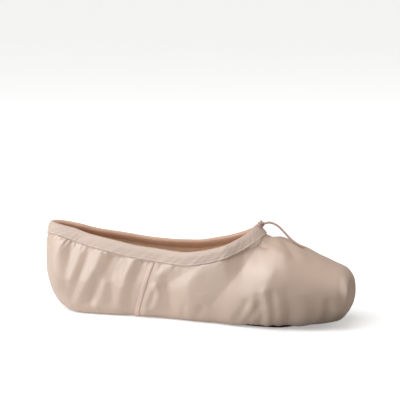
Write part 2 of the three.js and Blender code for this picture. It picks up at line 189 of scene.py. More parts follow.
def places_on(line, length, wanted):
    """Places on a line at lengths along it."""
    return np.stack([np.interp(wanted, length, column) for column in line.T], -1)


def unit(ways):
    """The same ways, each of length 1."""
    return ways / np.linalg.norm(ways, axis=-1, keepdims=True)


def rounded(share):
    """A quarter circle that rises from 0 to 1."""
    return np.sqrt(1 - (1 - np.clip(share, 0, 1)) ** 2)


def smooth(value, low, high):
    """A soft step from 0 at one value to 1 at another."""
    t = np.clip((value - low) / (high - low), 0, 1)
    return t * t * (3 - 2 * t)


def bottom_height(x):
    """The height of the bottom's line over the floor."""
    at = x / LENGTH
    return ARCH_RISE * BOTTOM.at("arch", at) + TOE_SPRING * BOTTOM.at("spring", at)


def topline_height(x):
    """The height of the opening's edge."""
    return THROAT_HEIGHT * TOPLINE.at("height", x / LENGTH)


def wall_thickness(x):
    """The thickness of the upper's wall, more in the toe box."""
    return QUARTER_WALL + (BOX_WALL - QUARTER_WALL) * smooth(x / LENGTH, BOX_START, BOX_FULL)


def sole_half(x, inset):
    """Half the width of a sole whose edge lies inset from the outsole's own."""
    start = SOLE_HEEL_END + inset
    end = SOLE_TOE_END - inset
    at = (x - SOLE_HEEL_END) / (SOLE_TOE_END - SOLE_HEEL_END)
    half = SOLE_BALL_WIDTH / 2 * SOLE_OUTLINE.at("half", at) - inset
    round_ends = rounded((x - start) / SOLE_HEEL_ROUND) * rounded((end - x) / SOLE_TOE_ROUND)
    return np.where((x <= start) | (x >= end), 0, half * round_ends)


def half_width(x, z):
    """Half of the last's width at a length and a height, or -1 outside it."""
    at = x / LENGTH
    past_edge = np.clip(x - (LENGTH - PLATFORM_EDGE), 0, PLATFORM_EDGE)
    inset = PLATFORM_EDGE - np.sqrt(PLATFORM_EDGE**2 - past_edge**2)
    low = bottom_height(x) + SATIN_HEIGHT + inset
    high = THROAT_HEIGHT * SECTIONS.at("top", at) - inset
    half = BALL_WIDTH / 2 * SECTIONS.at("half", at) - inset
    middle = low + SECTIONS.at("widest", at) * (high - low)
    below = z < middle
    power = np.where(below, SECTIONS.at("low", at), SECTIONS.at("high", at))
    flat = np.where(below, SECTIONS.at("flat", at), 0)
    share = np.where(below, (middle - z) / (middle - low), (z - middle) / (high - middle))
    side = flat + (1 - flat) * (1 - np.clip(share, 0, 1) ** power) ** (1 / power)
    back = LENGTH * HEEL_BACK.at("back", z / THROAT_HEIGHT)
    from_back = (x - back) / (HEEL_ROUND * (1 + side) / 2)
    outside = (x >= LENGTH) | (z < low) | (z > high) | (from_back <= 0)
    return np.where(outside, -1, rounded(from_back) * half * side)


def reach(inside, shape, farthest):
    """How far along lines, from where they are inside, a shape goes on."""
    near = np.zeros(shape)
    far = np.full(shape, farthest, float)
    for _ in range(HALVINGS):
        middle = (near + far) / 2
        now = inside(middle)
        near = np.where(now, middle, near)
        far = np.where(now, far, middle)
    return near


def satin_height(x, y):
    """How far the satin's underside stands above the line of the bottom, lasted over the outsole."""
    farthest = 2 * (LASTING_REST + LASTING_RISE)
    outside = reach(lambda d: np.abs(y) >= sole_half(x, -d), x.shape, farthest)
    over = 1 - smooth(outside, LASTING_REST, LASTING_REST + LASTING_RISE)
    return SATIN_HEIGHT + (SOLE_TOP - SATIN_HEIGHT) * over


def outline():
    """Columns of one side in plan: their place on the spine, their direction and their foot."""
    t = 3 * np.arange(OUTLINE_STEPS + 1) / OUTLINE_STEPS
    angle = np.pi / 2 * np.where(t < 1, t, np.where(t < 2, 1, t - 1))
    x = SPINE_HEEL + np.clip(t - 1, 0, 1) * (SPINE_TOE - SPINE_HEEL)
    away = np.stack([-np.cos(angle), np.sin(angle)], 1)

    def inside(d):
        return away[:, 1] * d < half_width(x + away[:, 0] * d, SPINE_HEIGHT)

    r = reach(inside, x.shape, LENGTH)
    return x, angle, np.stack([x + away[:, 0] * r, away[:, 1] * r], 1)


def evenly(points, count, turn_weight):
    """Even places along a line, where a bend counts as length too, and the length so far."""
    step = np.diff(points, axis=0)
    length = np.linalg.norm(step, axis=1)
    way = step / length[:, None]
    turn = np.zeros(len(length))
    turn[:-1] = np.arccos(np.clip((way[1:] * way[:-1]).sum(1), -1, 1))
    weighted = np.concatenate([[0], np.cumsum(length + turn_weight * turn)])
    places = np.interp(np.linspace(0, weighted[-1], count), weighted, np.arange(len(points)))
    along = np.interp(places, np.arange(len(points)), lengths_along(points))
    return places, along


def trace(x, angle):
    """Dense columns of the last's surface, from the opening's edge down and under to the edge beneath."""
    away = np.stack([-np.cos(angle), np.sin(angle)], 1)[:, None, :]

    def hit(tilt):
        out, up = np.cos(tilt), np.sin(tilt)

        def at(r):
            return x[:, None] + away[..., 0] * out * r, away[..., 1] * out * r, SPINE_HEIGHT + up * r

        def inside(r):
            px, py, pz = at(r)
            return np.abs(py) < half_width(px, pz)

        return np.stack(at(reach(inside, tilt.shape, LENGTH)), -1)

    tilts = np.tile(np.linspace(np.pi / 2, 0, SCAN_STEPS), (len(x), 1))
    scan = hit(tilts)
    low_enough = scan[..., 2] <= topline_height(scan[..., 0])
    first = np.argmax(low_enough, 1)
    last = tilts[np.arange(len(x)), first - 1][:, None]

    def above(d):
        p = hit(last - d)
        return p[..., 2] > topline_height(p[..., 0])

    top = last - reach(above, last.shape, np.pi / 2 / (SCAN_STEPS - 1))
    tilts = top + (-np.pi / 2 - top) * np.linspace(0, 1, DENSE)[None, :]
    p = hit(tilts)
    underneath = p[..., 2] < SPINE_HEIGHT / 2
    drawn_in = underneath & (np.abs(p[..., 1]) < sole_half(p[..., 0], LASTING_MARGIN))
    ends = np.where(drawn_in.any(1), np.argmax(drawn_in, 1), DENSE - 1)
    rows = np.arange(len(x))
    before, after = p[rows, ends - 1], p[rows, ends]

    def outside(d):
        q = before + (after - before) * d[:, None]
        return np.abs(q[:, 1]) > sole_half(q[:, 0], LASTING_MARGIN)

    p[rows, ends] = before + (after - before) * reach(outside, rows.shape, 1)[:, None]
    floor = bottom_height(p[..., 0])
    lasted = floor + np.maximum(p[..., 2] - floor, satin_height(p[..., 0], p[..., 1]))
    p[..., 2] = np.where(underneath, lasted, p[..., 2])
    return [p[i, : ends[i] + 1] for i in rows]


class Last:
    """The shoe's surface as columns, from the back of the heel along the near side to the toe and back."""

    def __init__(self):
        x, angle, plan = outline()
        per_side = COLUMNS // 2
        places, along = evenly(plan, per_side + 1, TURN_WEIGHT)
        steps = np.arange(len(x))
        one_side = trace(np.interp(places, steps, x), np.interp(places, steps, angle))
        flip = np.array([1, -1, 1])
        self.lines = [line * flip for line in one_side] + one_side[-2:0:-1]
        self.round = np.concatenate([along, 2 * along[-1] - along[-2:0:-1]])
        self.girth = 2 * along[-1]
        self.down = [lengths_along(line) for line in self.lines]
        self.length = np.array([down[-1] for down in self.down])
        self.closed_round = np.append(self.round, self.girth)
        self.closed_length = np.append(self.length, self.length[0])

    def at(self, round_, down):
        """One place of the surface, by its distances round and down."""
        count = len(self.lines)
        column = np.interp(round_ % self.girth, self.closed_round, np.arange(count + 1))
        before = int(column) % count
        after = (before + 1) % count
        a, b = (places_on(self.lines[i], self.down[i], down) for i in (before, after))
        return a + (b - a) * (column - int(column))

    def rows(self, down):
        """The surface at distances down each column: an array of columns by rows."""
        return np.stack([places_on(*column) for column in zip(self.lines, self.down, down)])


def outward(points):
    """The way out of a surface of columns by rows that closes on itself round the shoe."""
    across = np.roll(points, -1, 0) - np.roll(points, 1, 0)
    down = np.gradient(points, axis=1)
    return unit(np.cross(across, -down))


# Casing, seams, sock and cord, in millimetres, and the seams' ends as shares of the length
BINDING_WIDTH = 9.0
SEAM_TOP_AT = 0.386
SEAM_FOOT_AT = 0.333
SEAM_FOOT_HEIGHT = 4.0
INSOLE_GAP = 1.2
INSOLE_TOE_ROUND = 16
CORD_DIAMETER = 1.8
CORD_STRANDS = 3
CORD_TWIST = 1.7  # radians that the strands wind in a millimetre

# Folds of the satin, listed one by one. Each has a path in millimetres round from the back seam and down
# from the edge of the opening, then at the path's two ends how far its flanks reach and its height, which
# is less than nothing in a trough.
FOLDS = (
    # Heel and quarter, leaning forward at their tops
    (((26, 13), (24, 26), (28, 44)), (11, 9), (1.1, 1.0)),
    (((35, 11), (37, 25), (36, 42)), (9, 6), (-1.0, -0.8)),
    (((47, 9), (44, 24), (40, 38)), (9, 5), (1.0, 0.6)),
    (((53, 10), (50, 23), (45, 40), (41, 52)), (8, 4), (-1.0, -0.6)),
    (((63, 9), (60, 23), (54, 35), (46, 51)), (10, 5), (1.1, 0.8)),
    (((72, 11), (64, 30), (58, 46)), (8, 7), (-0.9, -1.0)),
    (((66, 36), (64, 43), (60, 52)), (4.5, 4), (0.5, 0.9)),
    (((62, 34), (57, 48)), (4, 4), (-0.5, -0.5)),
    (((78, 11), (73, 27), (73, 45)), (8, 5), (-0.9, -0.8)),
    (((90, 10), (83, 27), (78, 45)), (9, 6), (1.1, 0.9)),
    (((81, 15), (79, 21), (80, 29)), (3, 3), (-0.7, -0.6)),
    (((96, 11), (90, 29), (87, 48)), (8, 8), (-0.9, -0.9)),
    # Behind the ball, in front of the side seam
    (((119, 9), (111, 18)), (3.5, 3), (0.6, 0.45)),
    (((101, 27), (97, 37), (93, 48)), (4, 4), (-0.5, -0.5)),
    (((107, 26), (102, 36), (96, 49)), (2.5, 4), (0.25, 0.8)),
    (((108, 27), (110, 33), (107, 41), (100, 47)), (2.5, 3.5), (0.4, 0.6)),
    (((105.5, 33), (104, 39), (102, 43)), (2.5, 2.5), (-0.6, -0.6)),
    (((116, 22), (118, 31), (118, 42)), (7, 8), (-0.8, -1.2)),
    (((144, 9.5), (136.5, 17), (134, 24), (133.5, 30), (137, 38)), (6, 16), (0.6, 1.5)),
    (((158, 10), (150, 20), (146, 30)), (14, 12), (0.6, 0.6)),
    (((145, 8.5), (131, 14), (117, 23)), (5, 6), (-0.45, -0.6)),
    (((212, 10), (185, 17), (166, 27), (151, 40)), (20, 16), (-1.6, -1.4)),
    (((144, 41), (138, 50)), (3, 3), (-0.4, -0.4)),
    (((129.5, 40), (128.5, 46)), (3, 3), (-0.5, -0.5)),
    # Vamp, below the throat
    (((252, 20), (214, 29), (194, 44)), (16, 22), (1.0, 1.2)),
    (((260, 26), (251, 30), (240, 37)), (5, 6), (-0.8, -1.1)),
    (((256, 21), (251, 24), (238, 30.5), (230, 34.5)), (4, 4), (0.4, 0.5)),
    (((260, 45), (255, 51)), (5, 5), (-0.4, -0.4)),
    (((264, 12), (256, 15), (238, 14.5), (222, 16)), (3.5, 3), (-0.5, -0.5)),
    (((262, 8.5), (246, 11), (228, 13)), (3, 2.5), (0.6, 0.3)),
    # Toe, radiating from the sole
    (((179, 48), (173, 60)), (4, 4), (-0.6, -0.6)),
    (((183, 51), (177, 62)), (4, 4), (0.5, 0.5)),
    (((187, 53), (180, 64)), (4, 4), (-0.7, -0.7)),
    (((189, 48), (193, 72)), (4, 4), (-0.4, -0.6)),
    (((193, 47), (199, 77)), (4, 4), (0.6, 0.8)),
    (((197, 50), (202, 78)), (4, 5), (-0.6, -0.8)),
    (((201, 60), (208, 83)), (5, 5), (0.4, 0.5)),
    (((208, 56), (213, 86)), (6, 7), (-0.5, -0.8)),
    (((220, 66), (225, 93)), (8, 8), (0.4, 0.6)),
    (((233, 80), (236, 98)), (4, 4), (0.4, 0.5)),
    (((237, 82), (239, 99)), (4, 4), (-0.4, -0.5)),
    (((254, 86), (248, 97)), (5, 5), (0.4, 0.5)),
    # Where the satin turns in under the waist
    (((40, 62), (70, 60), (95, 58), (120, 57), (150, 61), (175, 68)), (10, 10), (1.2, 1.2)),
    # The toe's flat
    (((262, 88), (273, 86)), (24, 24), (-0.5, -0.5)),
    (((255, 121), (273, 118)), (12, 12), (0.5, 0.5)),
)
CREST_ROUND = 0.9  # radius by which a fold's crest is rounded
FLANK_FOOT = 0.22  # how softly a fold's flanks meet the satin beside it
FOLD_REACH = 1.6  # flanks' widths within which places are measured against a fold
FLANK_END = 0.6  # flanks' widths past a flank's foot at which it has died out
SATIN_SAG = 1.6  # how far the satin may hang below the outsole's line beside it
FLOOR_GAP = 0.35  # clear height of the satin over the floor
FOLD_STEP = 0.5  # between the points at which a fold's path is sampled
FAR_SHIFT = 5.0  # how much further forward the far side's folds lie
FAR_SHARE = 0.85  # height of the far side's folds, as a share of the near side's

# Gathers under the casing: how far from the back seam each kind begins, then the least and the most of its
# length down, its width, its depth and the way to the next one
GATHERS = (
    (0, (4, 11), (0.8, 1.6), (0.3, 0.8), (3.0, 7.0)),
    (125, (4, 8), (1.0, 1.6), (0.08, 0.25), (5.0, 10.0)),
    (228, (8, 15), (1.8, 2.6), (0.15, 0.4), (7.0, 11.0)),
)
GATHER_MARGIN = 6.0  # free of gathers on each side of the back seam
GATHER_LEAN = 0.3
GATHER_SEED = 11
SLACK = 0.18  # height of the satin's slow unevenness
SLACK_WAVES = (44, 31, 23)
SLACK_LEAN = 0.5

# Pleats that are drawn in underneath
PLEAT_PITCH = 6.4
PLEATED_TOE = (70, 105)  # from the toe's middle, where they begin and end to fade
PLEATED_HEEL = (28, 50)  # and from the back seam
HEEL_PLEATS = 0.7  # height at the heel, as a share of the toe's
PLEAT_REACH = 13  # how far they show beyond the edge that is drawn in
PLEAT_STRAY = 5  # and how much that varies
PLEAT_FADE = (3, 1, 8)  # fading before that edge, after it, and before the pleats' ends
PLEAT_WANDER = 0.5
PLEAT_CREASE = 0.8  # the less, the sharper the creases between pleats

SOLE_LIP = 0.4  # how far beyond its edge the outsole carries the satin
SATIN_SEAT = 0.15  # how far the satin sinks into the outsole that carries it


def waves(round_, girth, lengths, seed):
    """Irregular waves that close on themselves round the shoe, from about -1 to 1."""
    made = np.zeros_like(round_, dtype=float)
    rng = np.random.default_rng(seed)
    for length in lengths:
        count = max(1, round(girth / length))
        made = made + np.sin(2 * np.pi * count * round_ / girth + rng.uniform(0, 2 * np.pi))
    return made / len(lengths)


class Cloth:
    """The satin over the last, with its folds, gathers and pleats."""

    def __init__(self, last, fold_height, pleat_height):
        self.last = last
        self.fold_height = fold_height
        self.pleat_height = pleat_height
        self.folds = []
        middle = last.girth / 2
        for path, widths, heights in FOLDS:
            self.folds.append((self.sample(path), widths, heights))
            mirrored = tuple((last.girth - min(r + FAR_SHIFT, middle - 1), d) for r, d in path)
            self.folds.append((self.sample(mirrored), widths, tuple(h * FAR_SHARE for h in heights)))
        rng = np.random.default_rng(GATHER_SEED)
        self.gathers = []
        place = GATHER_MARGIN
        while place < last.girth - GATHER_MARGIN:
            from_back = min(place, last.girth - place)
            _, length, width, depth, step = [kind for kind in GATHERS if from_back > kind[0]][-1]
            self.gathers.append((place, rng.uniform(*length), rng.uniform(*width), rng.uniform(*depth)))
            place += rng.uniform(*step)

    def sample(self, path):
        """Places of the smooth surface along a path, a step or less apart."""
        path = np.array(path, float)
        length = lengths_along(path)
        count = max(2, math.ceil(length[-1] / FOLD_STEP))
        places = places_on(path, length, np.linspace(0, length[-1], count))
        return np.array([self.last.at(r, d) for r, d in places])

    def height(self, round_, down, points):
        """How far the folds lift places of the smooth satin, in millimetres."""
        total = np.zeros(points.shape[:-1])
        for path, widths, heights in self.folds:
            beside = FOLD_REACH * max(widths)
            near = np.all((points > path.min(0) - beside) & (points < path.max(0) + beside), axis=-1)
            away = np.linalg.norm(points[near][:, None, :] - path[None], axis=-1)
            nearest = away.argmin(1)
            ends = (0, len(path) - 1)
            width = np.interp(nearest, ends, widths)
            fall = 1 - (np.hypot(away.min(1), CREST_ROUND) - CREST_ROUND) / width
            flank = (fall + np.hypot(fall, FLANK_FOOT)) / 2
            flank *= smooth(fall, -FLANK_END, 0)
            total[near] += np.interp(nearest, ends, heights) * flank
        total *= self.fold_height
        girth = self.last.girth
        for place, length, width, depth in self.gathers:
            lean = GATHER_LEAN * (down - BINDING_WIDTH)
            across = (round_ - place + lean + girth / 2) % girth - girth / 2
            fade = 1 - smooth(down, BINDING_WIDTH, BINDING_WIDTH + length)
            total -= depth * fade * np.exp(-((across / width) ** 2))
        total += SLACK * waves(round_ + SLACK_LEAN * down, girth, SLACK_WAVES, 3)
        total *= smooth(down, BINDING_WIDTH - 1, BINDING_WIDTH + 2)
        return total + self.pleats(round_, down)

    def pleats(self, round_, down):
        """Pleats that are drawn in under the toe and the heel, deepest at the outsole's edge."""
        last = self.last
        inwards = np.interp(round_, last.closed_round, last.closed_length) - down
        from_toe = np.abs(round_ - last.girth / 2)
        from_heel = np.minimum(round_, last.girth - round_)
        toe = 1 - smooth(from_toe, *PLEATED_TOE)
        heel = HEEL_PLEATS * (1 - smooth(from_heel, *PLEATED_HEEL))
        wander = waves(round_, last.girth, (60, 37, 26), 5)
        phase = np.pi * (round_ / PLEAT_PITCH + PLEAT_WANDER * wander)
        before, after, at_end = PLEAT_FADE
        far = LASTING_MARGIN + PLEAT_REACH + PLEAT_STRAY * waves(round_, last.girth, (19, 13, 9), 8)
        fade = smooth(inwards, LASTING_MARGIN - before, LASTING_MARGIN + after)
        fade = fade * (1 - smooth(inwards, far - at_end, far))
        return self.pleat_height * (toe + heel) * fade * (0.5 - np.abs(np.sin(phase)) ** PLEAT_CREASE)

    def dressed(self, round_, down, points, out):
        """Places of the smooth satin moved out by its folds, clear of the outsole and the floor."""
        moved = points + out * self.height(round_, down, points)[..., None]
        floor = bottom_height(moved[..., 0])
        over_sole = np.abs(moved[..., 1]) < sole_half(moved[..., 0], -SOLE_LIP)
        clear = np.where(over_sole, SOLE_TOP - SATIN_SEAT, -SATIN_SAG)
        low = points[..., 2] < SPINE_HEIGHT / 2
        lowest = np.maximum(floor + clear, FLOOR_GAP)
        moved[..., 2] = np.where(low, np.maximum(moved[..., 2], lowest), moved[..., 2])
        return moved


WELD = 0.02 * MM  # how near to each other vertices are made one


def closed(points):
    """The same columns with the first one again at the end."""
    return np.concatenate([points, points[:1]])


def lay_piece(name, points, uv, sizes, materials, replaced, wrap_round=True, material=None):
    """A piece laid as a grid on points of columns by rows, in millimetres from the heel."""
    if wrap_round:
        points = closed(points)
    points = np.concatenate([points, points[:, :1]], 1)
    columns, rows = points.shape[:2]
    bm = bmesh.new()
    made = bmesh.ops.create_grid(bm, x_segments=rows - 1, y_segments=columns - 1, size=1)["verts"]
    flat = (points.reshape(-1, 3) - (LENGTH / 2, 0, 0)) * MM
    for vertex, place in zip(made, flat.tolist()):
        vertex.co = place
    bm.verts.index_update()
    layer = bm.loops.layers.uv.verify()
    uv = None if uv is None else uv.reshape(-1, 2).tolist()
    for face in bm.faces:
        face.smooth = True
        corners = [loop.vert.index for loop in face.loops]
        if uv:
            for loop, corner in zip(face.loops, corners):
                loop[layer].uv = uv[corner]
        if material is not None:
            face.material_index = material(min(corners) % rows)
    return finish_piece(name, bm, sizes, materials, replaced)


def cloth_map(round_, down):
    """UVs in centimetres of cloth, for columns by rows that close both round the shoe and down."""
    last_column = round_[-1:] + (round_[-1:] - round_[-2:-1])
    round_ = np.concatenate([round_, last_column])
    down = closed(down)
    return np.stack([np.concatenate([way, way[:, -1:]], 1) for way in (round_, down)], -1) / 10


def strip_map(around, length):
    """UVs in centimetres for a strip or a tube, round it and along it."""
    return np.stack(np.broadcast_arrays(around[None, :], length[:, None]), -1) / 10


def placed(name, data):
    """An object for a mesh, a light or a camera, in the scene."""
    made = bpy.data.objects.new(name, data)
    bpy.context.scene.collection.objects.link(made)
    return made


def finish_piece(name, bm, sizes, materials, replaced=()):
    """Welds a piece's doubles, turns its faces outward, and gives it its place in the frame."""
    bmesh.ops.remove_doubles(bm, verts=bm.verts, dist=WELD)
    edges = [edge for edge in bm.edges if edge.is_boundary]
    if edges:
        bmesh.ops.holes_fill(bm, edges=edges)
    bmesh.ops.recalc_face_normals(bm, faces=bm.faces)
    mesh = bpy.data.meshes.new(name)
    bm.to_mesh(mesh)
    bm.free()
    for material in materials:
        mesh.materials.append(material_called(material, sizes))
    piece = placed(name, mesh)
    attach(piece, "root")
    if replaced:
        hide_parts(*replaced)
    return piece


def cord_rings(path, radii, around, strand_depth):
    """Rings of a cord along a path in millimetres, with strands that wind round it."""
    way = unit(np.gradient(path, axis=0))
    side = unit(np.cross(way[0], (0.0, 0.0, 1.0)))
    length = lengths_along(path)
    angles = 2 * np.pi * np.arange(around) / around
    rings = []
    for point, direction, radius, along in zip(path, way, np.broadcast_to(radii, len(path)), length):
        side = unit(side - direction * (side @ direction))
        up = np.cross(direction, side)
        strand = np.abs(np.cos(CORD_STRANDS * (angles + CORD_TWIST * along) / 2))
        r = radius * (1 - strand_depth + strand_depth * strand)[:, None]
        rings.append(point + r * (np.cos(angles)[:, None] * side + np.sin(angles)[:, None] * up))
    return np.array(rings), length


def smooth_path(points, step):
    """A Catmull-Rom curve through points, sampled about a step apart."""
    points = np.asarray(points, float)
    ends = np.concatenate([[2 * points[0] - points[1]], points, [2 * points[-1] - points[-2]]])
    made = []
    for a, b, c, d in zip(ends, ends[1:], ends[2:], ends[3:]):
        count = max(1, round(np.linalg.norm(c - b) / step))
        t = np.linspace(0, 1, count, endpoint=False)[:, None]
        made.append(0.5 * (2 * b + (c - a) * t + (2 * a - 5 * b + 4 * c - d) * t**2
                           + (3 * b - a - 3 * c + d) * t**3))
    return np.concatenate([*made, points[-1:]])


def lay_stitch(bm, start, end, out, thread):
    """One stitch between two places in millimetres, lying on a surface that faces out."""
    start, end, out = (Vector(v) for v in (start, end, out))
    way = end - start
    length = way.length
    way.normalize()
    across = out.cross(way).normalized()
    up = way.cross(across)
    turn = Matrix((way, across, up)).transposed().to_4x4()
    middle = (start + end) / 2 - Vector((LENGTH / 2, 0, 0))
    size = Matrix.Diagonal((length / 2 * MM, thread / 2 * MM, thread / 2 * MM, 1))
    place = Matrix.Translation(middle * MM) @ turn @ size
    made = bmesh.ops.create_uvsphere(bm, u_segments=6, v_segments=5, radius=1, matrix=place)["verts"]
    for face in {face for vertex in made for face in vertex.link_faces}:
        face.smooth = True


def srgb(*values):
    """A colour that is named as it is seen, as the shader's linear one."""
    return tuple(v / 12.92 if v <= 0.04045 else ((v + 0.055) / 1.055) ** 2.4 for v in values) + (1.0,)


def new_group(name, inputs, outputs):
    """An empty node group with its sockets, and its two end nodes."""
    tree = bpy.data.node_groups.new(name, "ShaderNodeTree")
    for kind, socket, default in inputs:
        made = tree.interface.new_socket(socket, in_out="INPUT", socket_type="NodeSocket" + kind)
        if default is not None:
            made.default_value = default
    for kind, socket in outputs:
        tree.interface.new_socket(socket, in_out="OUTPUT", socket_type="NodeSocket" + kind)
    return tree, tree.nodes.new("NodeGroupInput"), tree.nodes.new("NodeGroupOutput")


def put(tree, kind, inputs=(), **settings):
    """A node with its settings and with its inputs linked or set."""
    node = tree.nodes.new("ShaderNode" + kind)
    for key, value in settings.items():
        setattr(node, key, value)
    for key, value in dict(inputs).items():
        if isinstance(value, bpy.types.NodeSocket):
            tree.links.new(value, node.inputs[key])
        else:
            node.inputs[key].default_value = value
    return node


def maths(tree, operation, *values):
    return put(tree, "Math", enumerate(values), operation=operation).outputs[0]


def thread_group():
    """Threads of a weave: a height and a shade, from a cloth's own centimetres."""
    name = "Woven threads"
    if name in bpy.data.node_groups:
        return bpy.data.node_groups[name]
    tree, start, end = new_group(
        name,
        (("Vector", "Vector", None), ("Float", "Warp per cm", 30.0), ("Float", "Weft per cm", 12.0),
         ("Float", "Wander", 0.3)),
        (("Float", "Height"), ("Float", "Shade")),
    )
    drift = put(tree, "TexNoise", {"Vector": start.outputs["Vector"], "Scale": 3.0, "Detail": 2.0})
    split = put(tree, "SeparateXYZ", {"Vector": start.outputs["Vector"]})
    moved = maths(tree, "MULTIPLY", drift.outputs["Fac"], start.outputs["Wander"])
    across = maths(tree, "ADD", split.outputs["X"], moved)
    warps = maths(tree, "MULTIPLY", across, start.outputs["Warp per cm"])
    wefts = maths(tree, "MULTIPLY", split.outputs["Y"], start.outputs["Weft per cm"])
    warp_turn = maths(tree, "MULTIPLY", warps, math.pi)
    weft_turn = maths(tree, "MULTIPLY", wefts, math.pi)
    warp = maths(tree, "ABSOLUTE", maths(tree, "SINE", warp_turn))
    weft = maths(tree, "ABSOLUTE", maths(tree, "SINE", maths(tree, "ADD", weft_turn, warp)))
    height = maths(tree, "MULTIPLY_ADD", weft, 0.35, maths(tree, "MULTIPLY", warp, 0.65))
    tree.links.new(height, end.inputs["Height"])
    streak = put(tree, "TexNoise", {"Vector": put(tree, "CombineXYZ", {
        "X": maths(tree, "MULTIPLY", split.outputs["X"], 9.0),
        "Y": maths(tree, "MULTIPLY", split.outputs["Y"], 0.6),
    }).outputs[0], "Scale": 1.0, "Detail": 3.0})
    tree.links.new(streak.outputs["Fac"], end.inputs["Shade"])
    return tree


def mottle_group():
    """Slow unevenness of a cloth or a hide over the piece."""
    name = "Mottle"
    if name in bpy.data.node_groups:
        return bpy.data.node_groups[name]
    tree, start, end = new_group(
        name,
        (("Vector", "Vector", None), ("Float", "Scale", 30.0),
         ("Float", "Low", 0.35), ("Float", "High", 0.65)),
        (("Float", "Mask"),),
    )
    noise = put(tree, "TexNoise", {"Vector": start.outputs["Vector"], "Scale": start.outputs["Scale"],
                                   "Detail": 4.0, "Roughness": 0.55})
    mask = put(tree, "MapRange", {"Value": noise.outputs["Fac"], "From Min": start.outputs["Low"],
                                  "From Max": start.outputs["High"]}, interpolation_type="SMOOTHSTEP")
    tree.links.new(mask.outputs[0], end.inputs["Mask"])
    return tree


def hide_group():
    """Grain of a hide: small cells with creases between them."""
    name = "Hide grain"
    if name in bpy.data.node_groups:
        return bpy.data.node_groups[name]
    tree, start, end = new_group(
        name,
        (("Vector", "Vector", None), ("Float", "Scale", 900.0)),
        (("Float", "Height"), ("Float", "Pits")),
    )
    cells = put(tree, "TexVoronoi", {"Vector": start.outputs["Vector"], "Scale": start.outputs["Scale"]},
                feature="DISTANCE_TO_EDGE")
    pits = put(tree, "TexNoise", {"Vector": start.outputs["Vector"], "Scale": 240.0, "Detail": 5.0})
    creases = put(tree, "MapRange", {"Value": cells.outputs["Distance"], "From Max": 0.25})
    tree.links.new(maths(tree, "MULTIPLY_ADD", creases.outputs[0], 0.6, pits.outputs["Fac"]),
                   end.inputs["Height"])
    tree.links.new(pits.outputs["Fac"], end.inputs["Pits"])
    return tree


SHEEN_ROUGHNESS = 0.4


def new_material(name, roughness, specular, sheen=0.0, ior=1.5):
    """A material with its shader, which the caller feeds."""
    material = bpy.data.materials.new(name)
    material.use_nodes = True
    tree = material.node_tree
    shader = tree.nodes["Principled BSDF"]
    for socket, value in (("Roughness", roughness), ("Specular IOR Level", specular), ("IOR", ior),
                          ("Sheen Weight", sheen), ("Sheen Roughness", SHEEN_ROUGHNESS)):
        shader.inputs[socket].default_value = value
    return material, tree, shader


def mixed_colour(tree, mask, low, high):
    """A colour between two colours or colour sockets, by a mask."""
    node = tree.nodes.new("ShaderNodeMix")
    node.data_type = "RGBA"
    factor, a, b = (socket for socket in node.inputs if socket.enabled)
    tree.links.new(mask, factor)
    for socket, value in ((a, low), (b, high)):
        if isinstance(value, bpy.types.NodeSocket):
            tree.links.new(value, socket)
        else:
            socket.default_value = value
    return next(socket for socket in node.outputs if socket.enabled)


def darker(colour, share):
    return tuple(c * share for c in colour[:3]) + (1.0,)


# Cloths: the colour's property, how much darker their shade is, roughness, warp and weft threads per
# centimetre, depth of the weave in millimetres, sheen, specular level and index of refraction
CLOTHS = {
    "Satin": ("satin_colour", 0.10, 0.33, 40.0, 14.0, 0.010, 0.08, 0.95, 1.6),
    "Casing tape": ("tape_colour", 0.06, 0.5, 26.0, 13.0, 0.03, 0.3, 0.5, 1.5),
    "Seam ribbon": ("ribbon_colour", 0.06, 0.4, 26.0, 13.0, 0.03, 0.2, 0.5, 1.5),
    # The casing's facing is the tape's own cloth with painted shade: its colour is darker and warmer than
    # the tape's, for the inside of the casing that lies in shadow
    "Casing facing in painted shade": ("facing_colour", 0.1, 0.45, 26.0, 13.0, 0.03, 0.3, 0.5, 1.5),
    "Sewing thread": ("thread_colour", 0.1, 0.45, 8.0, 30.0, 0.03, 0.3, 0.5, 1.5),
    "Cotton cord": ("cord_colour", 0.25, 0.7, 10.0, 22.0, 0.05, 0.4, 0.3, 1.5),
    "Cotton lining": ("lining_colour", 0.12, 0.85, 16.0, 16.0, 0.08, 0.15, 0.25, 1.5),
}
ROUGHER = (-0.05, 0.07)  # how far a cloth's roughness strays from its own
CLOTH_MOTTLE = 14.0
LEATHER_MOTTLE = 45.0
FLOOR_MOTTLE = 4.0
LEATHER_WORN = 1.9  # the colour of worn and of pitted leather, as shares of its own
LEATHER_PITTED = 0.6
LEATHER_ROUGH = (0.5, 0.8)
LEATHER_GRAIN = 0.12 * MM


def material_called(name, sizes):
    """One of the shoe's materials, made when it is first asked for."""
    if name in bpy.data.materials:
        return bpy.data.materials[name]
    if name == "Sole leather":
        return leather_material(name, srgb(*sizes.leather_colour))
    colour, *finish = CLOTHS[name]
    return cloth_material(name, srgb(*getattr(sizes, colour)), *finish)


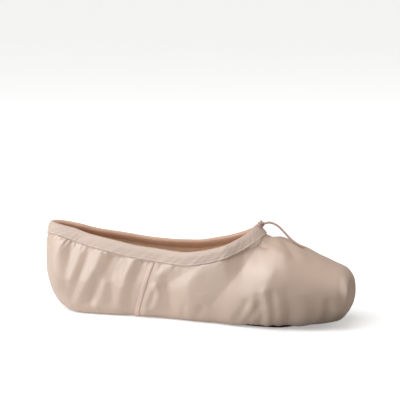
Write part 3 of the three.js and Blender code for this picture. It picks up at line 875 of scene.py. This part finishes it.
def cloth_material(name, colour, shade, roughness, warp, weft, weave_depth, sheen, specular, ior):
    """A woven cloth: threads from its own UVs, and slow unevenness over the shoe."""
    material, tree, shader = new_material(name, roughness, specular, sheen, ior)
    cloth = put(tree, "UVMap", uv_map="UVMap").outputs["UV"]
    threads = put(tree, "Group", {"Vector": cloth, "Warp per cm": warp, "Weft per cm": weft},
                  node_tree=thread_group())
    place = put(tree, "TexCoord").outputs["Object"]
    unevenness = put(tree, "Group", {"Vector": place, "Scale": CLOTH_MOTTLE}, node_tree=mottle_group())
    base = mixed_colour(tree, unevenness.outputs["Mask"], darker(colour, 1 - shade), colour)
    streaked = mixed_colour(tree, threads.outputs["Shade"], darker(colour, 1 - shade / 2), base)
    tree.links.new(streaked, shader.inputs["Base Color"])
    rough = put(tree, "MapRange", {"Value": threads.outputs["Shade"], "To Min": roughness + ROUGHER[0],
                                   "To Max": roughness + ROUGHER[1]})
    tree.links.new(rough.outputs[0], shader.inputs["Roughness"])
    bump = put(tree, "Bump", {"Height": threads.outputs["Height"], "Distance": weave_depth * MM,
                              "Strength": 1.0})
    tree.links.new(bump.outputs[0], shader.inputs["Normal"])
    return material


def leather_material(name, colour):
    """Dark sole leather, lighter and rougher where it is pitted."""
    material, tree, shader = new_material(name, 0.62, 0.4)
    place = put(tree, "TexCoord").outputs["Object"]
    grain = put(tree, "Group", {"Vector": place}, node_tree=hide_group())
    unevenness = put(tree, "Group", {"Vector": place, "Scale": LEATHER_MOTTLE}, node_tree=mottle_group())
    worn = mixed_colour(tree, unevenness.outputs["Mask"], colour, darker(colour, LEATHER_WORN))
    pitted = mixed_colour(tree, grain.outputs["Pits"], darker(colour, LEATHER_PITTED), worn)
    tree.links.new(pitted, shader.inputs["Base Color"])
    rough = put(tree, "MapRange", {"Value": grain.outputs["Pits"], "To Min": LEATHER_ROUGH[0],
                                   "To Max": LEATHER_ROUGH[1]})
    tree.links.new(rough.outputs[0], shader.inputs["Roughness"])
    bump = put(tree, "Bump", {"Height": grain.outputs["Height"], "Distance": LEATHER_GRAIN,
                              "Strength": 0.8})
    tree.links.new(bump.outputs[0], shader.inputs["Normal"])
    return material


# Route of the drawstring's free end, from the knot over the vamp: millimetres from the heel, across and up
CORD_ROUTE = (
    (169.9, 0.5, 71.2), (173.1, 0.9, 72.1), (176.3, 1.1, 71.7), (179.5, 1.1, 70.2),
    (182.5, 0.8, 68.0), (185.3, 0.4, 65.3), (188.1, -0.1, 62.6), (191.0, -0.7, 60.3),
    (194.2, -1.4, 58.2), (197.5, -2.1, 56.7), (200.6, -2.6, 55.4),
)

TRACED = {}


def traced_cloth(sizes):
    """The satin over the last, traced once."""
    key = (sizes.fold_height, sizes.pleat_height)
    if key not in TRACED:
        TRACED[key] = Cloth(Last(), sizes.fold_height, sizes.pleat_height / MM)
    return TRACED[key]


OUTER_ROWS = 130
INNER_ROWS = 25
VISIBLE_SHARE = 0.72  # of the satin's way from the edge down, what shows beside the shoe
VISIBLE_ROWS = 0.82  # share of the rows that lie there
LINING_FOLDS = 0.75  # height of the folds on the lining, as a share of the satin's


def build_upper(sizes):
    """The upper: satin outside, and the lining inside, which the stiff toe box holds clear of the folds."""
    cloth = traced_cloth(sizes)
    last = cloth.last
    spread = np.interp(np.linspace(0, 1, OUTER_ROWS + 1), (0, VISIBLE_ROWS, 1), (0, VISIBLE_SHARE, 1))
    down = last.length[:, None] * spread
    round_ = np.broadcast_to(last.round[:, None], down.shape)
    bare = last.rows(down)
    outside = cloth.dressed(round_, down, bare, outward(bare))
    inner_down = last.length[:, None] * np.linspace(1, 0, INNER_ROWS + 1)
    inner_round = np.broadcast_to(last.round[:, None], inner_down.shape)
    bare = last.rows(inner_down)
    x = bare[..., 0]
    share = LINING_FOLDS * (1 - smooth(x / LENGTH, BOX_START, BOX_FULL))
    lifted = share * cloth.height(inner_round, inner_down, bare)
    inside = bare - outward(bare) * (lifted - wall_thickness(x))[..., None]
    uv = cloth_map(np.concatenate([round_, inner_round], 1), np.concatenate([down, inner_down], 1))
    lay_piece(
        "upper_satin", np.concatenate([outside, inside], 1), uv, sizes, ("Satin", "Cotton lining"),
        ("upper",), material=lambda row: int(row >= OUTER_ROWS),
    )


# The casing's section: down from the edge, and out from the satin, in millimetres. Above the edge, where
# down is less than nothing, is the tape's fold. The inside is measured out from the wall's inner face.
CASING_OUTSIDE = (
    (9.0, 0.30), (9.05, 0.70), (8.8, 1.00), (8.3, 0.95), (7.9, 0.78), (7.5, 0.95), (6.8, 1.15),
    (5.8, 1.25), (4.8, 1.40), (3.8, 1.62), (2.8, 1.72), (1.8, 1.62), (0.9, 1.42), (0.2, 1.25),
    (-0.5, 0.95), (-1.1, 0.40),
)
CASING_INSIDE = (
    (-1.1, -0.10), (-0.5, 0.75), (0.3, 1.10), (1.6, 1.30), (2.6, 1.20), (3.6, 0.85), (4.3, 0.60),
    (4.9, 0.50), (5.15, 0.35), (5.1, 0.10),
)
CASING_UNDER = ((4.5, 0.12), (2.0, 0.12), (0.3, 0.12))
CASING_SEAT = ((1.5, 0.2), (4.5, 0.2), (7.0, 0.2))
CASING_ROWS = 10  # rows of the bare satin from which the casing's ways are read
CASING_SAMPLE = 100  # the column whose section gives the tape's UVs

# Puckers of the casing: shares of their height along the quarters, less at the throat and more at the heel,
# where those two end, and the least and the most lift between which they grow
PUCKERED = 0.9
PUCKER_CHANGE = 0.4
PUCKER_THROAT = (15, 60)
PUCKER_HEEL = (0, 30)
PUCKER_LIFT = (0, 0.8)
PUCKER_WAVES = (23.0, 13.3, 8.1, 5.9)
PUCKER_LEAN = 1.5
PUCKER_SEEDS = (1, 2)  # outside and inside
PUCKER_INSIDE = 0.6
PUCKER_EDGE = 0.4  # height that is left at the fold, as a share
PUCKER_GROWTH = (0.5, 4)  # and where below the edge it grows back


def build_binding(sizes):
    """The casing: tape folded over the edge, puckered by the drawstring in it."""
    last = traced_cloth(sizes).last
    girth = last.girth
    place = last.round
    at_throat = 1 - smooth(np.abs(place - girth / 2), *PUCKER_THROAT)
    at_heel = 1 - smooth(np.minimum(place, girth - place), *PUCKER_HEEL)
    gathered = PUCKERED - PUCKER_CHANGE * at_throat + PUCKER_CHANGE * at_heel
    base = last.rows(np.broadcast_to(np.linspace(0, BINDING_WIDTH, CASING_ROWS), (len(place), CASING_ROWS)))
    ways = outward(base)
    up = unit(base[:, 0] - base[:, 1])[:, None]

    def leg(rows, inner):
        down, lift = np.array(rows).T
        on = np.clip(down, 0, None)
        points = last.rows(np.broadcast_to(on, (len(place), len(on))))
        row = np.clip(on / BINDING_WIDTH * (CASING_ROWS - 1), 0, CASING_ROWS - 1)
        low = np.floor(row).astype(int)
        high = np.minimum(low + 1, CASING_ROWS - 1)
        t = (row - low)[:, None]
        out = ways[:, low] * (1 - t) + ways[:, high] * t
        ripple = waves(place[:, None] + PUCKER_LEAN * on, girth, PUCKER_WAVES, PUCKER_SEEDS[inner])
        depth = sizes.pucker_height / MM * (gathered[:, None] * ripple) * np.clip(lift, *PUCKER_LIFT)
        if inner:
            distance = -wall_thickness(points[..., 0]) - lift - PUCKER_INSIDE * depth
        else:
            distance = lift + depth * (PUCKER_EDGE + (1 - PUCKER_EDGE) * smooth(on, *PUCKER_GROWTH))
        return points + out * distance[..., None] + up * np.clip(-down, 0, None)[:, None]

    legs = (CASING_OUTSIDE, CASING_INSIDE, CASING_UNDER, CASING_SEAT)
    points = np.concatenate([leg(rows, inner) for rows, inner in zip(legs, (False, True, True, False))], 1)
    down = np.broadcast_to(lengths_along(points[CASING_SAMPLE]), points.shape[:2])
    round_ = np.broadcast_to(place[:, None], points.shape[:2])
    # The tape's inside leg takes the facing's material, whose colour is painted shade
    inside = range(len(CASING_OUTSIDE) - 2, len(CASING_OUTSIDE) + len(CASING_INSIDE))
    lay_piece(
        "binding_tape", points, cloth_map(round_, down), sizes, ("Casing tape", "Casing facing in painted shade"),
        ("binding",), material=lambda row: int(row in inside),
    )


STITCH_ROWS = (7.8, 7.9, 8.0)  # down from the edge: the stitches' own row between two that give its way out
STITCH_LIFT = 0.82
STITCH_ENDS = (0.14, 0.86)  # where a stitch comes up and goes down, as shares of its length of cloth


def build_binding_stitches(sizes):
    """The row of stitches that holds the casing near its lower edge."""
    last = traced_cloth(sizes).last
    line = last.rows(np.broadcast_to(STITCH_ROWS, (len(last.round), len(STITCH_ROWS))))
    out = outward(line)[:, 1]
    ring, outs = closed(line[:, 1] + out * STITCH_LIFT), closed(out)
    length = lengths_along(ring)
    count = round(length[-1] / (sizes.stitch_pitch / MM))
    bm = bmesh.new()
    for k in range(count):
        ends = [(k + share) * length[-1] / count for share in STITCH_ENDS]
        start, end = (places_on(ring, length, at) for at in ends)
        way_out = places_on(outs, length, sum(ends) / 2)
        lay_stitch(bm, start, end, way_out, sizes.thread_diameter / MM)
    finish_piece("binding_stitches", bm, sizes, ("Sewing thread",))


# The side seams. The ribbon's section is across it and out from the satin, in millimetres.
SEAM_ACROSS = np.array([-1.7, -1.55, -1.2, -0.7, 0.0, 0.7, 1.2, 1.55, 1.7])
SEAM_LIFT = np.array([0.05, 0.4, 0.62, 0.74, 0.78, 0.74, 0.62, 0.4, 0.05])
SEAM_BACK_LIFT = 0.02
SEAM_STATIONS = 90
SEAM_SEARCH = 160  # rows of the satin among which the seam's places are found
SEAM_EVENED = 9  # stations over which its line is evened
SEAM_TUCKED = 0.4  # how far it goes up under the casing
SEAM_LOWER = 0.8  # how far its visible foot lies below the frame's
SEAM_STEP = 0.6  # between its stations underneath
SEAM_LEAN_OVER = 12  # stations at the foot that say how it leans
RIB_HEIGHT = 0.07
RIB_LENGTH = 1.15
RIBBED_FROM = 0.3  # lift above which the ribbon is ribbed
ZIGZAG = ((5, 0.80), (8, 0.30))  # the zigzag's two sides: their place across the ribbon, and their lift
ZIGZAG_MIDDLE = 6
ZIGZAG_PITCH = 0.7  # length of its stitches along the seam, as a share of the casing's
ZIGZAG_THREAD = 1.5  # thickness of its thread, in threads of the casing


def seam_line(last):
    """Places along a side seam, round and down, from under the sole up to the casing."""
    t = np.linspace(0, 1, SEAM_STATIONS)
    x = LENGTH * (SEAM_FOOT_AT + (SEAM_TOP_AT - SEAM_FOOT_AT) * t)
    top = topline_height(np.array(LENGTH * SEAM_TOP_AT)) - BINDING_WIDTH + SEAM_TUCKED
    z = SEAM_FOOT_HEIGHT - SEAM_LOWER + (top - SEAM_FOOT_HEIGHT + SEAM_LOWER) * t
    downs = last.length[:, None] * np.linspace(0, 1, SEAM_SEARCH)
    flat = last.rows(downs)[: len(last.lines) // 2 + 1]
    found = np.array([np.hypot(flat[..., 0] - a, flat[..., 2] - b).argmin() for a, b in zip(x, z)])
    column, row = np.unravel_index(found, flat.shape[:2])
    kernel = np.ones(SEAM_EVENED) / SEAM_EVENED
    round_, down = (
        np.convolve(np.pad(values, SEAM_EVENED // 2, mode="edge"), kernel, mode="valid")
        for values in (last.round[column], downs[column, row])
    )
    under = np.interp(round_[0], last.closed_round, last.closed_length) - LASTING_MARGIN - 1
    further = np.arange(down[0] + SEAM_STEP, under, SEAM_STEP)[::-1]
    lean = (round_[0] - round_[SEAM_LEAN_OVER]) / (down[0] - down[SEAM_LEAN_OVER])
    return np.append(round_[0] + lean * (further - down[0]), round_), np.append(further, down)


def seam_skin(cloth, side):
    """The dressed satin under a seam's ribbon and its way out, as stations by places across."""
    last = cloth.last
    round_, down = seam_line(last)
    rounds = round_[:, None] + SEAM_ACROSS
    if side > 0:
        rounds = last.girth - rounds
    downs = np.repeat(down[:, None], len(SEAM_ACROSS), 1)
    columns = closed(np.stack([places_on(line, own, down) for line, own in zip(last.lines, last.down)]))
    points = np.stack([places_on(columns[:, i], last.closed_round, at) for i, at in enumerate(rounds)])
    out = unit(np.cross(np.gradient(points, axis=0), np.gradient(points, axis=1)))
    out *= side * np.sign(out[len(out) // 2, len(SEAM_ACROSS) // 2, 1])
    return cloth.dressed(rounds, downs, points, out), out


def build_seams(sizes):
    """Both side seams: a ribbed ribbon, and the zigzag that holds its front edge."""
    cloth = traced_cloth(sizes)
    for side, name in ((-1, "near"), (1, "far")):
        points, out = seam_skin(cloth, side)
        length = lengths_along(points[:, len(SEAM_ACROSS) // 2])
        rib = RIB_HEIGHT * np.sin(2 * np.pi * length / RIB_LENGTH)[:, None] * (SEAM_LIFT > RIBBED_FROM)
        top = points + out * (SEAM_LIFT + rib)[..., None]
        under = points[:, ::-1] + out[:, ::-1] * SEAM_BACK_LIFT
        around = np.concatenate([SEAM_ACROSS, SEAM_ACROSS[-2:0:-1], SEAM_ACROSS[:1]])
        lay_piece(
            f"side_seam_{name}", np.concatenate([top, under[:, 1:-1]], 1), strip_map(around, length), sizes,
            ("Seam ribbon",), (f"seam_{name}",), wrap_round=False,
        )
        bm = bmesh.new()
        count = round(length[-1] / (sizes.stitch_pitch / MM * ZIGZAG_PITCH))
        for k in range(count):
            ends = []
            for share, (column, lift) in enumerate(ZIGZAG if k % 2 else ZIGZAG[::-1]):
                i = min(np.searchsorted(length, (k + share) * length[-1] / count), len(length) - 1)
                ends.append(points[i, column] + out[i, column] * lift)
            lay_stitch(bm, *ends, out[i, ZIGZAG_MIDDLE], ZIGZAG_THREAD * sizes.thread_diameter / MM)
        finish_piece(f"seam_stitches_{name}", bm, sizes, ("Sewing thread",))


PLATE_ACROSS = np.linspace(-1, 1, 25)
PLATE_END = 0.25  # half the width at a plate's very ends
GROOVE_INSET = 3.6
GROOVE_HALF = 0.8
OUTSOLE_EDGE = 1.1
OUTSOLE_GROOVE = 0.35
OUTSOLE_STATIONS = 150
INSOLE_EDGE = 1.4
INSOLE_DOME = 0.4
INSOLE_STATIONS = 120


def plate_rings(start, end, half, low, thickness, edge, stations, dome=0.0, groove=0.0):
    """Rings round a flat plate with rounded edges, from its heel end to its toe end."""
    t = (1 - np.cos(np.pi * np.arange(stations + 1) / stations)) / 2
    x = start + (end - start) * t
    from_edge = 1 - np.abs(PLATE_ACROSS)
    wide = np.maximum(half(x), PLATE_END)[:, None]
    rim = rounded(from_edge * wide / edge)
    bottom = low(x)[:, None]
    top = bottom + thickness
    middle = (bottom + top) / 2
    thick = (top - bottom) / 2
    top = middle + thick * rim + dome * (1 - PLATE_ACROSS**2)
    from_groove = from_edge * wide - GROOVE_INSET
    bottom = middle - thick * rim + groove * np.exp(-((from_groove / GROOVE_HALF) ** 2))
    x, y = np.broadcast_arrays(x[:, None], PLATE_ACROSS * wide)
    upper_side, under_side = (np.stack([x, y, z], -1) for z in (top, bottom))
    return np.concatenate([upper_side, under_side[:, -2:0:-1]], 1)


def build_outsole(sizes):
    """The leather outsole, with a groove for its stitches underneath."""
    rings = plate_rings(
        SOLE_HEEL_END, SOLE_TOE_END, lambda x: sole_half(x, 0), bottom_height, SOLE_THICKNESS,
        OUTSOLE_EDGE, OUTSOLE_STATIONS, groove=OUTSOLE_GROOVE,
    )
    lay_piece("outsole_leather", rings, None, sizes, ("Sole leather",), ("outsole",),
              wrap_round=False)


def build_insole(sizes):
    """The sock on the drawn-in satin."""
    end = LENGTH - PLATFORM_EDGE - BOX_WALL - INSOLE_GAP

    def half(x):
        wide = half_width(x, bottom_height(x) + SOLE_TOP) - wall_thickness(x) - INSOLE_GAP
        return np.maximum(wide, 0) * rounded((end - x) / INSOLE_TOE_ROUND)

    start = SPINE_HEEL - float(reach(lambda d: half(SPINE_HEEL - d) > 0, (1,), SPINE_HEEL)[0])
    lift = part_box("insole")[0].z / MM - float(bottom_height(np.array(start)))
    rings = plate_rings(
        start, end, half, lambda x: bottom_height(x) + lift + wall_thickness(x) - QUARTER_WALL,
        INSOLE_THICKNESS, INSOLE_EDGE, INSOLE_STATIONS, dome=INSOLE_DOME,
    )
    uv = np.concatenate([rings, rings[:, :1]], 1)[..., :2] / 10
    lay_piece("insole_sock", rings, uv, sizes, ("Cotton lining",), ("insole",), wrap_round=False)


KNOT_STEPS = 96
KNOT_REACH = 2.0
KNOT_LIFT = 1.15  # how far the knot's strands pass over and under one another
KNOT_SEAT = 0.45  # how far the knot is drawn out from its middle, to where the cord leaves it
KNOT_LEAN = math.radians(52)
KNOT_SIDES = 14
KNOT_CORD = 0.47  # half the thickness of the cord in the knot, as a share of its diameter
KNOT_DEPTH = 0.18  # of the grooves between its strands, as a share of half its thickness
CORD_SIDES = 18
CORD_STEP = 0.3
CORD_TIP = 0.3  # half the thickness at its very ends, as a share of its diameter
CORD_DEPTH = 0.2  # of the grooves, outside the knot


def build_cord(name, path, radii, sides, strand_depth, sizes, replaced, wrap_round):
    """A piece of twisted cord along a path, and the length along it."""
    rings, length = cord_rings(path, radii, sides, strand_depth)
    uv = strip_map(np.linspace(0, np.pi * CORD_DIAMETER, sides + 1), length)
    rings = rings[:-1] if wrap_round else rings
    return lay_piece(name, rings, uv, sizes, ("Cotton cord",), replaced, wrap_round), length


def build_knot(sizes):
    """The knot at the throat: the cord wound over and under itself, seated on the casing."""
    low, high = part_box("knot")
    middle = np.array((low + high) / 2) / MM + (LENGTH / 2, 0, 0)
    t = np.linspace(0, 2 * np.pi, KNOT_STEPS + 1)[:-1]
    ring = KNOT_REACH * (2 + np.cos(3 * t)) / 3
    flat = np.stack([ring * np.cos(2 * t), ring * np.sin(2 * t), KNOT_LIFT * np.sin(3 * t) + KNOT_SEAT], 1)
    c, s = math.cos(KNOT_LEAN), math.sin(KNOT_LEAN)
    path = closed(flat @ np.array([[c, 0, s], [0, 1, 0], [-s, 0, c]]).T + middle)
    return build_cord("drawstring_knot", path, KNOT_CORD * CORD_DIAMETER, KNOT_SIDES, KNOT_DEPTH, sizes,
                      ("knot",), True)[0]


def build_drawstring(sizes):
    """The drawstring's free end: a twisted cord from the knot, down over the vamp."""
    knot = build_knot(sizes)
    path = smooth_path(CORD_ROUTE, CORD_STEP)
    radii = np.full(len(path), CORD_DIAMETER / 2)
    radii[0] = radii[-1] = CORD_TIP * CORD_DIAMETER
    cord, length = build_cord("drawstring", path, radii, CORD_SIDES, CORD_DEPTH, sizes,
                              ("drawstring_end",), False)


# Camera: where it looks at the shoe from
CAMERA_TURN = math.radians(14.973)
CAMERA_RISE = math.radians(9.42)
CAMERA_DISTANCE = 1.0
CAMERA_TARGET = Vector((0.00328, 0.0, 0.086811))
CAMERA_LENS = 121.23
CAMERA_SENSOR = 36.0


def build_camera():
    """The camera, which looks at the shoe from where the photograph was taken."""
    back = Vector((
        math.sin(CAMERA_TURN) * math.cos(CAMERA_RISE),
        -math.cos(CAMERA_TURN) * math.cos(CAMERA_RISE),
        math.sin(CAMERA_RISE),
    ))
    data = bpy.data.cameras.new("Camera")
    data.lens = CAMERA_LENS
    data.sensor_width = CAMERA_SENSOR
    data.clip_start = 0.01
    camera = placed("Camera", data)
    camera.location = CAMERA_TARGET + back * CAMERA_DISTANCE
    camera.rotation_euler = back.to_track_quat("Z", "Y").to_euler()
    bpy.context.scene.camera = camera


# Soft lights: name, kind, place, size in metres or angle, power and colour
LIGHTS = (
    ("Ceiling light", "SUN", (-0.4, -0.3, 1.2), math.radians(60), 1.3, (1.0, 0.99, 0.98)),
    ("Key light", "AREA", (-0.98, -0.86, 0.78), 1.65, 12.0, (0.94, 0.98, 1.0)),
    ("Side light", "AREA", (-1.6, -0.45, 0.40), 2.0, 8.2, (0.90, 0.98, 1.0)),
    ("Toe light", "AREA", (1.7, 0.40, 0.35), 2.2, 21.0, (1.0, 0.95, 0.90)),
)
LIT_PLACE = Vector((0, 0, 0.03))
FLOOR_SIZE = 30
FLOOR_BOUNCE = (0.8, 0.08)  # share of its light that the floor gives back, at the heel's end and the toe's
FLOOR_FADE = (-0.05, 0.16)  # where along the shoe it begins and ends to fall
BACKDROP = 0.9  # how pale the room is behind the floor
FLOOR_GLOW = 0.36  # light from behind the floor's paper, so that it stays pale far off
FLOOR_LIGHT = 0.12  # the light that this paper throws on the shoe's heel end


def build_stage(sizes):
    """The floor, the lights and the room."""
    bm = bmesh.new()
    bmesh.ops.create_grid(bm, x_segments=1, y_segments=1, size=FLOOR_SIZE)
    mesh = bpy.data.meshes.new("Floor")
    bm.to_mesh(mesh)
    bm.free()
    floor = placed("Floor", mesh)
    material, tree, shader = new_material("Pale floor", 0.9, 0.1)
    place = put(tree, "TexCoord").outputs["Object"]
    unevenness = put(tree, "Group", {"Vector": place, "Scale": FLOOR_MOTTLE}, node_tree=mottle_group())
    floor_colour = srgb(*sizes.floor_colour)
    seen = put(tree, "LightPath").outputs["Is Camera Ray"]
    paper = mixed_colour(tree, unevenness.outputs["Mask"], darker(floor_colour, 0.99), floor_colour)
    along = put(tree, "SeparateXYZ", {"Vector": place}).outputs["X"]
    side = put(tree, "MapRange", {"Value": along, "From Min": FLOOR_FADE[0], "From Max": FLOOR_FADE[1]},
               interpolation_type="SMOOTHSTEP").outputs[0]
    bounced = mixed_colour(tree, side, *(darker(floor_colour, share) for share in FLOOR_BOUNCE))
    tree.links.new(mixed_colour(tree, seen, bounced, paper), shader.inputs["Base Color"])
    shader.inputs["Emission Color"].default_value = (1.0, 1.0, 1.0, 1.0)
    lit = maths(tree, "MULTIPLY_ADD", side, -FLOOR_LIGHT, FLOOR_LIGHT)
    glow = maths(tree, "MULTIPLY_ADD", seen, maths(tree, "SUBTRACT", FLOOR_GLOW, lit), lit)
    tree.links.new(glow, shader.inputs["Emission Strength"])
    mesh.materials.append(material)
    for name, kind, place, size, power, colour in LIGHTS:
        data = bpy.data.lights.new(name, kind)
        setattr(data, "angle" if kind == "SUN" else "size", size)
        data.energy = power
        data.color = colour
        light = placed(name, data)
        light.location = place
        light.rotation_euler = (Vector(place) - LIT_PLACE).to_track_quat("Z", "Y").to_euler()
    world = bpy.data.worlds.new("Studio")
    world.use_nodes = True
    background = world.node_tree.nodes["Background"]
    background.inputs["Color"].default_value = (1.0, 1.0, 1.0, 1.0)
    seen = put(world.node_tree, "LightPath").outputs["Is Camera Ray"]
    world.node_tree.links.new(
        maths(world.node_tree, "MULTIPLY_ADD", seen, BACKDROP - sizes.room_light, sizes.room_light),
        background.inputs["Strength"],
    )
    scene = bpy.context.scene
    scene.world = world
    scene.view_settings.view_transform = "Standard"


def length_property(name, description, default, least, most):
    """A length that is given here in millimetres."""
    return bpy.props.FloatProperty(
        name=name, description=description, default=default * MM, min=least * MM, max=most * MM,
        unit="LENGTH",
    )


def colour_property(name, description, default):
    """A colour as it is seen."""
    return bpy.props.FloatVectorProperty(
        name=name, description=description, subtype="COLOR_GAMMA", size=3, min=0, max=1, default=default
    )


class PointeShoeSizes(bpy.types.PropertyGroup):
    """Sizes and colours of the shoe that can be changed before it is built."""

    fold_height: bpy.props.FloatProperty(
        name="Folds", description="Height of the satin's folds, as a share of the ones set by hand",
        default=1.5, min=0, max=3, subtype="FACTOR",
    )
    pleat_height: length_property("Pleats", "Height of the pleats under the toe and the heel", 1.0, 0, 2)
    pucker_height: length_property("Puckers", "Height of the puckers along the casing", 0.42, 0, 0.8)
    stitch_pitch: length_property("Stitch", "Length of cloth that each stitch takes", 2.0, 1, 5)
    thread_diameter: length_property("Thread", "Diameter of the sewing thread", 0.42, 0.15, 0.8)
    room_light: bpy.props.FloatProperty(
        name="Room light", description="Strength of the light from all round", default=0.215, min=0, max=3,
    )
    satin_colour: colour_property("Satin", "Colour of the satin", (0.855, 0.745, 0.668))
    tape_colour: colour_property("Casing", "Colour of the casing's tape", (0.85, 0.76, 0.705))
    ribbon_colour: colour_property("Seam ribbon", "Colour of the side seams' ribbon", (0.90, 0.78, 0.73))
    thread_colour: colour_property("Thread", "Colour of the sewing thread", (0.97, 0.90, 0.86))
    cord_colour: colour_property("Cord", "Colour of the drawstring", (0.84, 0.72, 0.67))
    # The facing's colour is painted shade: the casing's tape made darker and warmer for the inside, which
    # lies in shadow
    facing_colour: colour_property("Facing", "Colour of the casing's inside", (0.88, 0.71, 0.61))
    lining_colour: colour_property("Lining", "Colour of the lining and the sock", (0.98, 0.88, 0.79))
    leather_colour: colour_property("Sole", "Colour of the sole's leather", (0.20, 0.17, 0.155))
    floor_colour: colour_property("Floor", "Colour of the floor", (0.97, 0.97, 0.97))


class POINTE_OT_camera(bpy.types.Operator):
    """Place the camera"""

    bl_idname = "pointe.camera"
    bl_label = "Camera"

    def execute(self, context):
        build_camera()
        return {"FINISHED"}


class POINTE_OT_drawstring(bpy.types.Operator):
    """Make the drawstring's knot and its free end"""

    bl_idname = "pointe.drawstring"
    bl_label = "Drawstring"

    def execute(self, context):
        build_drawstring(context.scene.pointe_shoe)
        return {"FINISHED"}


class POINTE_OT_upper(bpy.types.Operator):
    """Make the satin upper with its folds, pleats and lining"""

    bl_idname = "pointe.upper"
    bl_label = "Upper"

    def execute(self, context):
        build_upper(context.scene.pointe_shoe)
        return {"FINISHED"}


class POINTE_OT_binding(bpy.types.Operator):
    """Make the casing round the opening and its stitches"""

    bl_idname = "pointe.binding"
    bl_label = "Casing"

    def execute(self, context):
        build_binding(context.scene.pointe_shoe)
        build_binding_stitches(context.scene.pointe_shoe)
        return {"FINISHED"}


class POINTE_OT_seams(bpy.types.Operator):
    """Make the side seams and their stitches"""

    bl_idname = "pointe.seams"
    bl_label = "Side Seams"

    def execute(self, context):
        build_seams(context.scene.pointe_shoe)
        return {"FINISHED"}


class POINTE_OT_soles(bpy.types.Operator):
    """Make the leather outsole and the sock inside"""

    bl_idname = "pointe.soles"
    bl_label = "Soles"

    def execute(self, context):
        build_outsole(context.scene.pointe_shoe)
        build_insole(context.scene.pointe_shoe)
        return {"FINISHED"}


class POINTE_OT_stage(bpy.types.Operator):
    """Make the floor and the lights"""

    bl_idname = "pointe.stage"
    bl_label = "Stage"

    def execute(self, context):
        build_stage(context.scene.pointe_shoe)
        return {"FINISHED"}


OPERATORS = (
    POINTE_OT_camera,
    POINTE_OT_drawstring,
    POINTE_OT_upper,
    POINTE_OT_binding,
    POINTE_OT_seams,
    POINTE_OT_soles,
    POINTE_OT_stage,
)


class POINTE_PT_panel(bpy.types.Panel):
    """The shoe's pieces in the order that they are made"""

    bl_label = "Pointe Shoe"
    bl_idname = "POINTE_PT_panel"
    bl_space_type = "VIEW_3D"
    bl_region_type = "UI"
    bl_category = "Pointe Shoe"

    def draw(self, context):
        sizes = context.scene.pointe_shoe
        for name in PointeShoeSizes.__annotations__:
            self.layout.prop(sizes, name)
        for operator in OPERATORS:
            self.layout.operator(operator.bl_idname)


def register():
    for made in (PointeShoeSizes, *OPERATORS, POINTE_PT_panel):
        bpy.utils.register_class(made)
    bpy.types.Scene.pointe_shoe = bpy.props.PointerProperty(type=PointeShoeSizes)


def unregister():
    del bpy.types.Scene.pointe_shoe
    for made in (POINTE_PT_panel, *reversed(OPERATORS), PointeShoeSizes):
        bpy.utils.unregister_class(made)


def main():
    register()
    for name in ("camera", "drawstring", "upper", "binding", "seams", "soles", "stage"):
        getattr(bpy.ops.pointe, name)()


if __name__ == "__main__":
    main()
